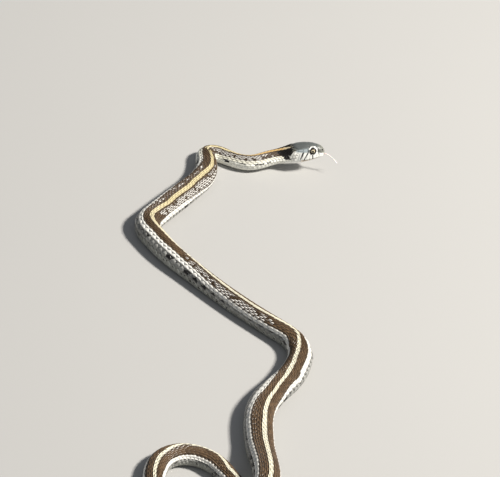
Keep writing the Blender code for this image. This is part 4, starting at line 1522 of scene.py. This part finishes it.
@dataclass
class Head:
    """The head from the snout to the nape: shields, lips, mouth line, nostrils and sockets."""

    form: Form
    finish: HeadFinish = field(default_factory=HeadFinish)
    reach: float = 27.0
    rings: int = 190
    front_reach: float = 4.0
    front_rings: int = 44
    crown_columns: int = 156
    jaw_columns: int = 84
    mouth: Table = ((1.002, -0.05), (1.02, -0.12), (1.04, -0.20))
    mouth_middle: float = 1.03
    jaw_share: float = 1.06
    jaw_span: float = 0.94
    jaw_gap: float = 0.24
    setback: float = 0.9
    overlap: float = 0.35
    mouth_corner: float = 15.6
    corner_ramp: Edge = (1.2, 0.2)
    mouth_depth: float = 0.55
    gum: float = 0.15
    middle_rise: float = 1.5
    depth: float = 0.10
    rise: float = 0.20
    shield_edge: Edge = (0.28, 0.05)
    dome: float = 0.05
    dome_reach: float = 1.1
    suture: float = 0.13
    groove: float = 0.10
    eye_place: float = 8.4
    eye_side: float = 3.65
    eye_height: float = 8.0
    eye_half: Triple = (1.95, 1.75, 1.75)
    socket_depth: float = 1.5
    socket_edge: Edge = (1.0, 0.86)
    socket_rim: float = 0.13
    rim_outer: Edge = (1.32, 1.12)
    rim_inner: Edge = (0.92, 1.04)
    nostril: Edge = (1.9, 3.6)
    nostril_radius: float = 0.56
    nostril_floor: float = 0.28
    nostril_depth: float = 0.42
    labials: tuple[float, ...] = (1.0, 2.4, 3.9, 5.8, 8.1, 10.2, 12.3, 14.9, 17.0)
    labial_tops: tuple[float, ...] = (1.5, 1.7, 2.1, 2.9, 3.1, 3.3, 3.6, 3.5)
    labial_slant: float = 0.25
    labial_slant_gain: float = 0.05
    labial_lean: float = 0.6
    lower_labials: int = 10
    lower_labial_start: float = 1.5
    lower_labial_step: float = 1.46
    lower_labial_slant: float = 0.2
    lower_labial_height: float = 1.35
    outline_step: float = 0.12
    least_length: float = 0.3
    clear_of_shields: float = 0.15
    clear_of_mouth: float = 0.10
    past_corner: float = 0.6
    near: float = 2.5
    far: float = 1000.0
    block: int = 4000
    bars: tuple[tuple[float, float, float, float, float], ...] = (
        (4.3, 4.2, 4.5, 1.2, 0.20), (8.9, 3.0, 8.2, -0.2, 0.34), (10.9, 5.6, 11.6, 3.3, 0.30),
        (11.6, 3.3, 12.5, 1.9, 0.42), (12.5, 1.9, 14.1, -0.2, 0.34), (14.7, 3.9, 15.5, 1.9, 0.56),
        (15.5, 1.9, 16.3, 0.4, 0.36))

    def shields(self) -> list[Shield]:
        """Every shield of the left side and the middle."""
        edges, tops = self.labials, self.labial_tops
        made = list(SHIELDS)
        for k, top in enumerate(tops):
            slant = self.labial_slant + self.labial_slant_gain * k
            lean = slant * self.labial_lean
            before, after = tops[max(k - 1, 0)], tops[min(k + 1, len(tops) - 1)]
            made.append(Shield(f"upper labial {k + 1}", (
                (edges[k] + slant, 0.0), (edges[k] - lean, (top + before) / 2),
                (edges[k + 1] - lean, (top + after) / 2), (edges[k + 1] + slant, 0.0)), LIP))
        high, slant = self.lower_labial_height, self.lower_labial_slant
        for k in range(self.lower_labials):
            start = self.lower_labial_start + self.lower_labial_step * k
            end = start + self.lower_labial_step
            made.append(Shield(f"lower labial {k + 1}", (
                (start, 0.0), (start + slant, high), (end + slant, high), (end, 0.0)),
                Reference.JAW))
        return made

    def layout(self) -> tuple[Array, Array]:
        """Places of the rings, and the way round as turns from the crown's middle by the left.

        Returns:
            Places, and shares: 0 the crown, 1 the lips, 2 the chin, and on the right back to 4.
        """
        turn = np.linspace(0.0, math.pi / 2, self.front_rings)
        rear = np.linspace(self.front_reach, self.reach, self.rings - self.front_rings + 1)
        places = np.concatenate([self.front_reach * (1 - np.cos(turn)), rear[1:]])
        half = np.concatenate([np.linspace(0.0, 1.0, self.crown_columns // 2 + 1),
                               [share for share, _ in self.mouth],
                               np.linspace(self.jaw_share, 2.0, self.jaw_columns // 2 + 1)])
        return places, np.concatenate([half, (4.0 - half[1:-1])[::-1]])

    def surface(self, places: Array, shares: Array) -> Array:
        """Points of the plain head, before shields.

        Args:
            places: n places.
            shares: m shares round, 0 the crown, 1 the lips, 2 the chin.

        Returns:
            Points n by m by 3, in millimetres, on the solids' surface or in the mouth line.
        """
        girth, levels = self.form.girth, dict(self.mouth)
        upper, lower = girth.sections(places), girth.sections(places, self.setback)
        before, past = self.corner_ramp
        open_ = 1 - fade(places, self.mouth_corner - before, self.mouth_corner + past)
        inner = np.maximum(upper["half"] - self.mouth_depth * open_, 0.0)
        edge = np.maximum(lower["half"] - self.overlap * open_, 0.0)
        jaw_top = upper["lip"] - self.jaw_gap
        across, above = [], []
        for share in fold(shares):
            if share <= 1.0:
                turn, power = math.pi / 2 * (1 - share), 2 / upper["power"]
                across.append(upper["half"] * math.cos(turn) ** power)
                above.append(upper["lip"] + (upper["top"] - upper["lip"]) * math.sin(turn) ** power)
            elif share < self.jaw_share:
                under = np.minimum(edge, inner + self.gum)
                across.append(inner if share < self.mouth_middle else under)
                above.append(upper["lip"] + levels[round(float(share), 3)])
            else:
                turn = math.pi / 2 * (share - self.jaw_share) / self.jaw_span
                power = 2 / girth.belly_power
                across.append(edge * math.cos(turn) ** power)
                above.append(jaw_top - (jaw_top - lower["bottom"]) * math.sin(turn) ** power)
        side = np.stack(across, axis=1) * np.where(shares > 2, -1.0, 1.0)
        point, left, up, _ = self.form.backbone.frames(places)
        return (point[:, None] + left[:, None] * side[..., None]
                + up[:, None] * np.stack(above, axis=1)[..., None])

    def point(self, place: float, share: float) -> Array:
        """One point of the plain head."""
        return self.surface(np.array([place]), np.array([share]))[0, 0]

    def measures(self, places: Array) -> tuple[Array, Array]:
        """Lengths from the crown to the lip, and from the lower lip to the chin, by place."""
        crown = self.surface(places, np.linspace(0.0, 1.0, 60))
        jaw = self.surface(places, np.linspace(self.jaw_share + 0.0001, 2.0, 40))
        return (np.linalg.norm(np.diff(crown, axis=1), axis=-1).sum(axis=1),
                np.linalg.norm(np.diff(jaw, axis=1), axis=-1).sum(axis=1))

    def corners(self, shield: Shield) -> Array:
        """A shield's dense outline as places and shares round, on the left side."""
        points = list(shield.corners)
        if shield.middle:
            points += [(p, -d) for p, d in reversed(shield.corners) if d > 0]
        dense = []
        for start, end in zip(points, points[1:] + points[:1]):
            steps = max(2, math.ceil(math.dist(start, end) / self.outline_step))
            t = np.arange(steps)[:, None] / steps
            dense.append(np.array([start]) * (1 - t) + np.array([end]) * t)
        places, away = np.concatenate(dense).T
        over, under = (np.maximum(length, self.least_length) for length in self.measures(places))
        match shield.reference:
            case Reference.CROWN:
                share = np.clip(away / over, -1.0, 1.0)
            case Reference.LIP:
                share = 1 - away / over
            case Reference.JAW:
                share = self.jaw_share + self.jaw_span * away / under
            case Reference.CHIN:
                share = np.clip(2 - self.jaw_span * away / under, self.jaw_share,
                                4 - self.jaw_share)
        return np.stack([places, share], axis=-1)

    def outlines(self) -> list[tuple[str, Array, Array]]:
        """Name, flat outline and outline in space of every shield, both sides."""
        made = []
        for shield in self.shields():
            left = self.corners(shield)
            right = np.stack([left[:, 0], 4 - left[:, 1]], axis=-1)
            for flat in ((left,) if shield.middle else (left, right)):
                at = self.off_lips(np.mod(flat[:, 1], 4.0))
                space = np.stack([self.point(p, a) for p, a in zip(flat[:, 0], at)])
                made.append((shield.name, flat, space))
        return made

    def off_lips(self, shares: Array) -> Array:
        """Moves shares out of the mouth line, onto the nearer lip."""
        folded = fold(shares)
        in_mouth = (folded > 1.0) & (folded < self.jaw_share)
        lip = np.where(folded < self.mouth_middle, 1.0, self.jaw_share)
        folded = np.where(in_mouth, lip, folded)
        return np.where(shares > 2, 4 - folded, folded)

    @staticmethod
    def inside(outline: Array, places: Array, shares: Array) -> Array:
        """Which points lie inside a flat outline that may cross the crown's middle."""
        hit = np.zeros(places.shape, bool)
        for shift in (-4.0, 0.0, 4.0):
            y = shares + shift
            odd = np.zeros(places.shape, bool)
            for (x0, y0), (x1, y1) in zip(outline, np.roll(outline, -1, axis=0)):
                if y0 != y1:
                    before = places < (x1 - x0) * (y - y0) / (y1 - y0) + x0
                    odd ^= ((y0 > y) != (y1 > y)) & before
            hit |= odd
        return hit

    def distances(self, points: Array, places: Array,
                  shares: Array) -> tuple[Array, Array, Array, list[str]]:
        """How far points lie inside or outside their nearest shields.

        Args:
            points: k by 3, in millimetres.
            places: their places.
            shares: their shares round.

        Returns:
            The nearest shield's number, its signed distance (negative inside), the distance to
            the middle of the suture, and the shields' names.
        """
        outlines = self.outlines()
        signed = []
        for _, flat, space in outlines:
            middle = space.mean(axis=0)
            box = np.abs(points - middle).max(axis=1) < np.abs(space - middle).max() + self.near
            near = np.full(len(points), self.far)
            numbers = np.flatnonzero(box)
            for k in range(0, len(numbers), self.block):
                block = numbers[k:k + self.block]
                away = np.linalg.norm(points[block][:, None] - space[None], axis=-1)
                near[block] = away.min(axis=1)
            signed.append(np.where(self.inside(flat, places, shares), -near, near))
        table = np.stack(signed)
        order = np.argsort(table, axis=0)[:2]
        first, second = np.take_along_axis(table, order, axis=0)
        return order[0], first, (second - first) / 2, [name for name, _, _ in outlines]

    def clear(self, roots: Roots) -> Roots:
        """Roots of scales that the head's shields and mouth don't cover."""
        near = [root for root in roots if root[0] < self.reach]
        far = [root for root in roots if root[0] >= self.reach]
        if not near:
            return far
        places, turns = np.array(near)[:, 0], np.array(near)[:, 1] % 1.0
        surface = np.stack([self.form.rings(np.array([p, p + 0.1]), np.array([a, a + 0.01]),
                                            0.0)[0][0, 0] for p, a in zip(places, turns)])
        shares = self.shares_of(surface, places)
        _, outside, _, _ = self.distances(surface, places, shares)
        by_mouth = np.abs(fold(shares) - self.mouth_middle) < self.clear_of_mouth
        by_mouth &= places < self.mouth_corner + self.past_corner
        keep = (outside > self.clear_of_shields) & ~by_mouth
        return [root for root, kept in zip(near, keep) if kept] + far

    def shares_of(self, points: Array, places: Array) -> Array:
        """Shares round of points that lie on the head."""
        tries = np.linspace(0.0, 4.0, 241)[:-1]
        made = []
        for point, place in zip(points, places):
            ring = self.surface(np.array([place]), self.off_lips(tries))[0]
            made.append(tries[np.argmin(np.linalg.norm(ring - point, axis=-1))])
        return np.array(made)

    def build(self) -> bpy.types.Object:
        """Makes the head's skin with its shields, lips, nostrils, sockets and tints."""
        places, shares = self.layout()
        surface = self.surface(places, shares)
        point, _, up, _ = self.form.backbone.frames(places)
        lip = curve_at(self.form.girth.lip, places)[:, None]
        middle = point + up * lip + up * self.middle_rise
        outward = Form.outward(surface, middle).reshape(-1, 3)
        flat = surface.reshape(-1, 3)
        at, turns = np.repeat(places, len(shares)), np.tile(shares, len(places))
        number, inside, suture, names = self.distances(flat, at, turns)
        covered = fade(inside, *self.shield_edge)
        plate = fade(suture, 0.0, self.suture)
        dome = fade(suture, 0.0, self.dome_reach) * self.dome
        lift = -self.depth + covered * (self.rise * plate - self.groove * (1 - plate) + dome)
        in_mouth = (fold(turns) > 1.0) & (fold(turns) < self.jaw_share)
        lift = np.where(in_mouth & (at < self.mouth_corner), -self.depth, lift)
        lift += self.socket(flat)
        lift += self.nostril_pit(flat)
        faces = grid_faces(len(places), len(shares), True)
        faces.append(tuple(range(len(flat) - len(shares), len(flat))))
        mesh = mesh_of("head_skin", (flat + outward * lift[:, None]) * MM, faces)
        mesh.validate()
        turn_outward(mesh)
        tints = self.tints(flat, at, fold(turns), np.array(names)[number], suture, covered)
        give_layer(mesh, "tint", "FLOAT_COLOR", "color",
                   np.concatenate([tints, np.ones((len(tints), 1))], axis=1))
        return add_object("head_skin", mesh)

    def eye_centres(self) -> list[tuple[int, Array, Array, Array, Array]]:
        """Side, centre and the ways left, up and back of each eye."""
        point, left, up, back = (part[0] for part in
                                 self.form.backbone.frames(np.array([self.eye_place])))
        return [(way, point + left * way * self.eye_side + up * self.eye_height, left, up, back)
                for way in (1, -1)]

    def round_eyes(self, points: Array) -> Iterator[tuple[Array, Array, Array, Array]]:
        """Each eye's view of the points: how far out, radial share, back and up."""
        for way, centre, left, up, back in self.eye_centres():
            off = points - centre
            behind, over = off @ back, off @ up
            radial = np.hypot(behind / self.eye_half[0], over / self.eye_half[2])
            yield off @ left * way, radial, behind, over

    def socket(self, points: Array) -> Array:
        """Depth of the sockets, with a low rim round each eye."""
        lift = np.zeros(len(points))
        for out, radial, _, _ in self.round_eyes(points):
            rim = fade(radial, *self.rim_outer) * fade(radial, *self.rim_inner)
            pit = -self.socket_depth * fade(radial, *self.socket_edge)
            lift += np.where((out > -1.5) & (radial < 2.0), pit + self.socket_rim * rim, 0.0)
        return lift

    def nostril_pit(self, points: Array) -> Array:
        """Depth of the nostrils."""
        return sum(-self.nostril_depth * fade(away, self.nostril_radius, self.nostril_floor)
                   for away in self.from_nostrils(points))

    def from_nostrils(self, points: Array) -> list[Array]:
        """Distances of the points from the middle of each nostril."""
        place, above = self.nostril
        share = 1 - above / self.measures(np.array([place]))[0][0]
        return [np.linalg.norm(points - self.point(place, a), axis=-1) for a in (share, 4 - share)]

    def round_marks(self, points: Array) -> Layers:
        """The nostrils painted black as shade in their openings, and the pale ring and black rim of
        each eye.
        """
        tone = self.finish
        # painted shade in each nostril
        made = [(fade(away, *tone.nostril_shade_edge), tone.black)
                for away in self.from_nostrils(points)]
        for out, radial, behind, up in self.round_eyes(points):
            near = (out > -1.0) & (radial < 3.0)
            gap = fade(up, *tone.gap_above) * fade(np.abs(behind), *tone.gap_along)
            ring = fade(radial, *tone.ring_inner) * fade(radial, *tone.ring_outer)
            made.append((ring * (1 - tone.ring_gap * gap) * near, tone.pale))
            made.append((fade(radial, *tone.socket_edge) * near, tone.black))
        return made

    def tints(self, points: Array, places: Array, folded: Array, names: Array, suture: Array,
              covered: Array) -> Array:
        """The colour of each point of the head.

        Args:
            points: points in space.
            places: their places.
            folded: their shares round, from the crown to the chin on either side.
            names: the nearest shield's name.
            suture: distance to the nearest suture.
            covered: 1 on shields and 0 on bare skin.

        Returns:
            One colour a point.
        """
        tone = self.finish
        known = np.unique(places)
        over = np.interp(places, known, self.measures(known)[0])
        from_lip, from_crown = (1 - folded) * over, folded * over
        jaw = folded > 1.0
        in_mouth = jaw & (folded < 1.05) & (places < self.mouth_corner)
        cheek = fade(from_lip - curve_at(tone.cheek_top, places), *tone.cheek_edge)
        nape_white = fade(places, *tone.nape_places) * fade(from_lip, *tone.nape_above)
        line = fade(suture, *tone.line_edge) * covered
        labial, jaw_line = (np.char.startswith(names, kind)
                            for kind in ("upper labial", "lower labial"))
        temple_line = (fade(suture, *tone.temple_line_edge) * fade(places, *tone.temple_line_from)
                       * fade(places, *tone.temple_line_to)
                       * fade(np.abs(from_lip - tone.temple_line_height),
                              *tone.temple_line_reach))
        layers: Layers = [
            (fade(places, *tone.snout_places) * tone.snout_share, tone.snout),
            (fade(from_crown, *tone.temple_below) * fade(places, *tone.temple_places)
             * tone.temple_share, tone.temple),
            (cheek * fade(folded, *tone.cheek_foot) * fade(places, *tone.cheek_places),
             tone.pale),
            (jaw, tone.chin),
            (fade(folded, *tone.lip_below) * jaw * fade(places, *tone.lip_places)
             * tone.lip_share, tone.peach),
            (nape_white, tone.pale),
            (fade(places, *tone.blotch_places) * fade(from_crown, *tone.blotch_below),
             tone.black),
            (line * tone.crown_line * ~labial * ~jaw * (1 - tone.nape_line_loss * nape_white),
             tone.crown_edge),
            (line * labial * tone.labial_line, tone.crown_edge),
            (temple_line * tone.temple_line, tone.black),
            (line * tone.jaw_line * (jaw_line | jaw), tone.crown_edge),
            # the mouth line is painted near black as shade in the slit between the lips
            (in_mouth, tone.mouth), *self.round_marks(points),
            (self.bar_marks(places, from_lip) * ~jaw, tone.black)]
        colour = np.tile(np.array(tone.crown), (len(points), 1))
        for share, new in layers:
            colour = colour * (1 - share[:, None]) + np.array(new) * share[:, None]
        return colour

    def bar_marks(self, places: Array, from_lip: Array) -> Array:
        """Where the dark bars lie on the lips and behind the eyes, 0 to 1."""
        marks, blur = np.zeros(len(places)), self.finish.bar_blur
        for place, height, end_place, end_height, half in self.bars:
            run = np.array([end_place - place, end_height - height])
            reach = ((places - place) * run[0] + (from_lip - height) * run[1]) / (run @ run)
            reach = np.clip(reach, 0.0, 1.0)
            away = np.hypot(places - place - reach * run[0], from_lip - height - reach * run[1])
            marks = np.maximum(marks, fade(away, half + blur, half - blur))
        return marks


@dataclass
class Eye:
    """An eyeball under its clear spectacle."""

    head: Head
    way: int
    segments: int = 48

    def build(self) -> bpy.types.Object:
        """Makes the ball, with each point's distance from the middle of the pupil."""
        name = "left_eye" if self.way > 0 else "right_eye"
        _, centre, left, up, back = next(e for e in self.head.eye_centres() if e[0] == self.way)
        long, wide, high = self.head.eye_half
        count, rings = self.segments, self.segments // 2 - 1
        angles = math.pi * np.arange(1, rings + 1)[:, None] / (rings + 1)
        turns = 2 * math.pi * np.arange(count) / count
        bands = np.stack([np.cos(angles) + 0 * turns, np.sin(angles) * np.cos(turns),
                          np.sin(angles) * np.sin(turns)], axis=-1).reshape(-1, 3)
        ball = np.concatenate([[[1.0, 0.0, 0.0]], bands, [[-1.0, 0.0, 0.0]]])
        out = np.where(ball[:, 0] > 0, np.hypot(ball[:, 1], ball[:, 2]), 1.0)
        points = centre + ball @ np.stack([left * self.way * wide, back * long, up * high])
        last = len(points) - 1
        faces = [(0, 1 + j, 1 + (j + 1) % count) for j in range(count)]
        faces += [tuple(1 + k for k in face) for face in grid_faces(rings, count, True)]
        faces += [(last, last - count + (j + 1) % count, last - count + j) for j in range(count)]
        mesh = mesh_of(name, points * MM, faces)
        turn_outward(mesh)
        give_values(mesh, from_middle=out)
        return add_object(name, mesh)


@dataclass
class Tongue:
    """The forked tongue, out of the front of the mouth at the lip and bending down."""

    form: Form
    root: float = 1.7
    reach: float = 9.6
    fork: float = 5.4
    stem_past: float = 0.3
    tine_before: float = 0.6
    slope: float = 1.0
    bend: float = 3.4
    spread: float = 1.8
    spread_power: float = 1.4
    half: Edge = (0.60, 0.32)
    stem_end: Edge = (0.48, 0.32)
    tine: Edge = (0.28, 0.288)
    tip: Edge = (0.15, 0.13)
    sides: int = 16
    steps: int = 26
    near: float = 0.05

    def path(self, out: float, way: int) -> Array:
        """A point of the tongue at a distance ahead of the snout."""
        lip = float(self.form.girth.sections(np.array([1.0]))["lip"][0])
        past = max(out - self.fork, 0.0) / (self.reach - self.fork)
        drop = self.slope * (math.hypot(max(out, 0.0), self.bend) - self.bend)
        point, left, up, _ = (part[0] for part in
                              self.form.backbone.frames(np.array([-out])))
        return point + left * way * self.spread * past**self.spread_power + up * (lip - drop)

    def strand(self, start: float, end: float, way: int, thick: Edge,
               thin: Edge) -> tuple[Array, Array]:
        """Rings of one strand.

        Args:
            start: distance ahead of the snout where it starts.
            end: where it ends.
            way: 1 for the left tine, -1 for the right and 0 for the stem.
            thick: half sizes at its root.
            thin: half sizes at its tip.

        Returns:
            Points, and the share along the tongue of each point.
        """
        left = self.form.backbone.frames(np.array([0.0]))[1][0]
        turns = 2 * math.pi * np.arange(self.sides)[:, None] / self.sides
        points, along = [], []
        for share in np.linspace(0.0, 1.0, self.steps + 1):
            out = start + (end - start) * share
            ahead = self.path(out + self.near, way) - self.path(out - self.near, way)
            over = np.cross(ahead, left)
            over /= np.linalg.norm(over)
            side = np.cross(over, ahead)
            side /= np.linalg.norm(side)
            wide, high = (a + (b - a) * share for a, b in zip(thick, thin))
            points.append(self.path(out, way) + side * wide * np.cos(turns)
                          + over * high * np.sin(turns))
            along.append(np.full(self.sides, (out + self.root) / (self.reach + self.root)))
        return np.concatenate(points), np.concatenate(along)

    def build(self) -> bpy.types.Object:
        """Makes the stem and the two tines as one piece."""
        strands = [self.strand(-self.root, self.fork + self.stem_past, 0, self.half,
                               self.stem_end)]
        strands += [self.strand(self.fork - self.tine_before, self.reach, way, self.tine, self.tip)
                    for way in (1, -1)]
        points, along = (np.concatenate(parts) for parts in zip(*strands))
        rings = self.steps + 1
        faces = [face for k in range(len(strands))
                 for face in tube_faces(rings, self.sides, k * rings * self.sides)]
        mesh = mesh_of("forked_tongue", points * MM, faces)
        turn_outward(mesh)
        give_values(mesh, along=along)
        return add_object("forked_tongue", mesh)


@dataclass(frozen=True)
class Lamp:
    """A soft lamp: place and size in metres, and power in watts."""

    name: str
    place: Triple
    size: float
    power: float
    colour: Colour

    def hang(self, target: Vector) -> None:
        """Puts the lamp in the scene, facing a point."""
        data = bpy.data.lights.new(self.name, "AREA")
        data.size, data.energy, data.color = self.size, self.power, self.colour
        made = add_object(self.name, data)
        made.location = self.place
        made.rotation_euler = (target - made.location).to_track_quat("-Z", "Y").to_euler()


@dataclass(frozen=True)
class Stage:
    """Pale floor, studio light and the camera of the photograph."""

    target: Triple = (-0.0561, 0.0900, 0.0)
    distance: float = 1.5
    elevation: float = 35.0
    roll: float = 18.0
    lens: float = 172.8
    sensor: float = 36.0
    seen: Edge = (0.05, 20.0)
    floor_size: float = 8.0
    floor_grey: Colour = (0.47, 0.465, 0.45)
    floor_dark: float = 0.85
    lamps: tuple[Lamp, ...] = (
        Lamp("key", (1.77, 0.55, 2.24), 0.42, 150.0, (1.0, 0.96, 0.90)),
        Lamp("fill", (-1.0, -1.5, 1.6), 1.6, 2.6, (0.90, 0.95, 1.0)))
    sky: Colour = (0.85, 0.9, 1.0)
    sky_strength: float = 0.20

    def build(self) -> None:
        """Makes the floor, the lights and the camera."""
        half = self.floor_size / 2
        corners = np.array([(-half, -half, 0.0), (half, -half, 0.0), (half, half, 0.0),
                            (-half, half, 0.0)])
        floor = add_object("floor", mesh_of("floor", corners, [(0, 1, 2, 3)]))
        surface = Surface("floor_pale")
        shade = surface.desk.mix(surface.desk.noise(6.0, 3.0) * 0.12, self.floor_grey,
                                 tuple(self.floor_dark * c for c in self.floor_grey))
        floor.data.materials.append(surface.dress(shade, {"Roughness": 0.8}))
        for lamp in self.lamps:
            lamp.hang(Vector(self.target))
        world = bpy.data.worlds.new("studio")
        world.use_nodes = True
        light = world.node_tree.nodes["Background"].inputs
        light["Color"].default_value = (*self.sky, 1.0)
        light["Strength"].default_value = self.sky_strength
        bpy.context.scene.world = world
        bpy.context.scene.view_settings.view_transform = "Standard"
        self.camera()

    def camera(self) -> None:
        """Sets the camera where the photograph was taken from."""
        e, roll = math.radians(self.elevation), math.radians(self.roll)
        look = Vector((0.0, math.cos(e), -math.sin(e)))
        level, over = Vector((1.0, 0.0, 0.0)), Vector((0.0, math.sin(e), math.cos(e)))
        right = level * math.cos(roll) + over * math.sin(roll)
        up = over * math.cos(roll) - level * math.sin(roll)
        data = bpy.data.cameras.new("camera")
        data.lens, data.sensor_width = self.lens, self.sensor
        data.clip_start, data.clip_end = self.seen
        made = add_object("camera", data)
        turn = Matrix((right, up, -look)).transposed().to_4x4()
        made.matrix_world = Matrix.Translation(Vector(self.target) - look * self.distance) @ turn
        bpy.context.scene.camera = made


@dataclass
class Snake:
    """The whole snake: builds the pieces, dresses them and sets them on the body."""

    form: Form
    rows: RowPlan = field(default_factory=RowPlan)
    unwrap: Unwrap = field(default_factory=Unwrap)
    lengths: tuple[str, ...] = ("neck", *(f"trunk_{k}" for k in range(1, 12)),
                                *(f"tail_{k}" for k in range(1, 4)))

    def settle(self, piece: bpy.types.Object, slot: str, *nodes: str,
               finish: bpy.types.Material | None = None) -> None:
        """Sets a piece on the root body with its finish, and hides the nodes it replaces."""
        if finish:
            piece.data.materials.append(finish)
        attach(piece, "root")
        if nodes:
            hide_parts(*nodes)
        log.info("%s: %d vertices", piece.name, len(piece.data.vertices))

    def build(self) -> None:
        """Builds every piece."""
        skin = Skin(self.form, self.rows, self.unwrap).build()
        self.settle(skin, "body_skin", *self.lengths,
                    finish=BodyFinish().make("skin_between_scales", True))
        head = Head(self.form)
        self.settle(head.build(), "head_skin", "head", "lower_jaw", finish=head.finish.make())
        scales = BodyFinish().make("keeled_scales", False)
        coat = Coat(self.form, self.rows, self.unwrap, WrapSheet(self.form), scales)
        for piece in coat.build(head):
            self.settle(piece, "body_skin")
        gloss = EyeFinish().make()
        for way, node in ((1, "eye_left"), (-1, "eye_right")):
            self.settle(Eye(head, way).build(), "eye", node, finish=gloss)
        self.settle(Tongue(self.form).build(), "tongue", "tongue", finish=TongueFinish().make())


def main() -> None:
    """Builds the stage and the snake."""
    logging.basicConfig(level=logging.INFO, format="%(message)s")
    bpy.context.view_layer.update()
    Stage().build()
    Snake(Form(Backbone(), Girth())).build()


if __name__ == "__main__":
    main()
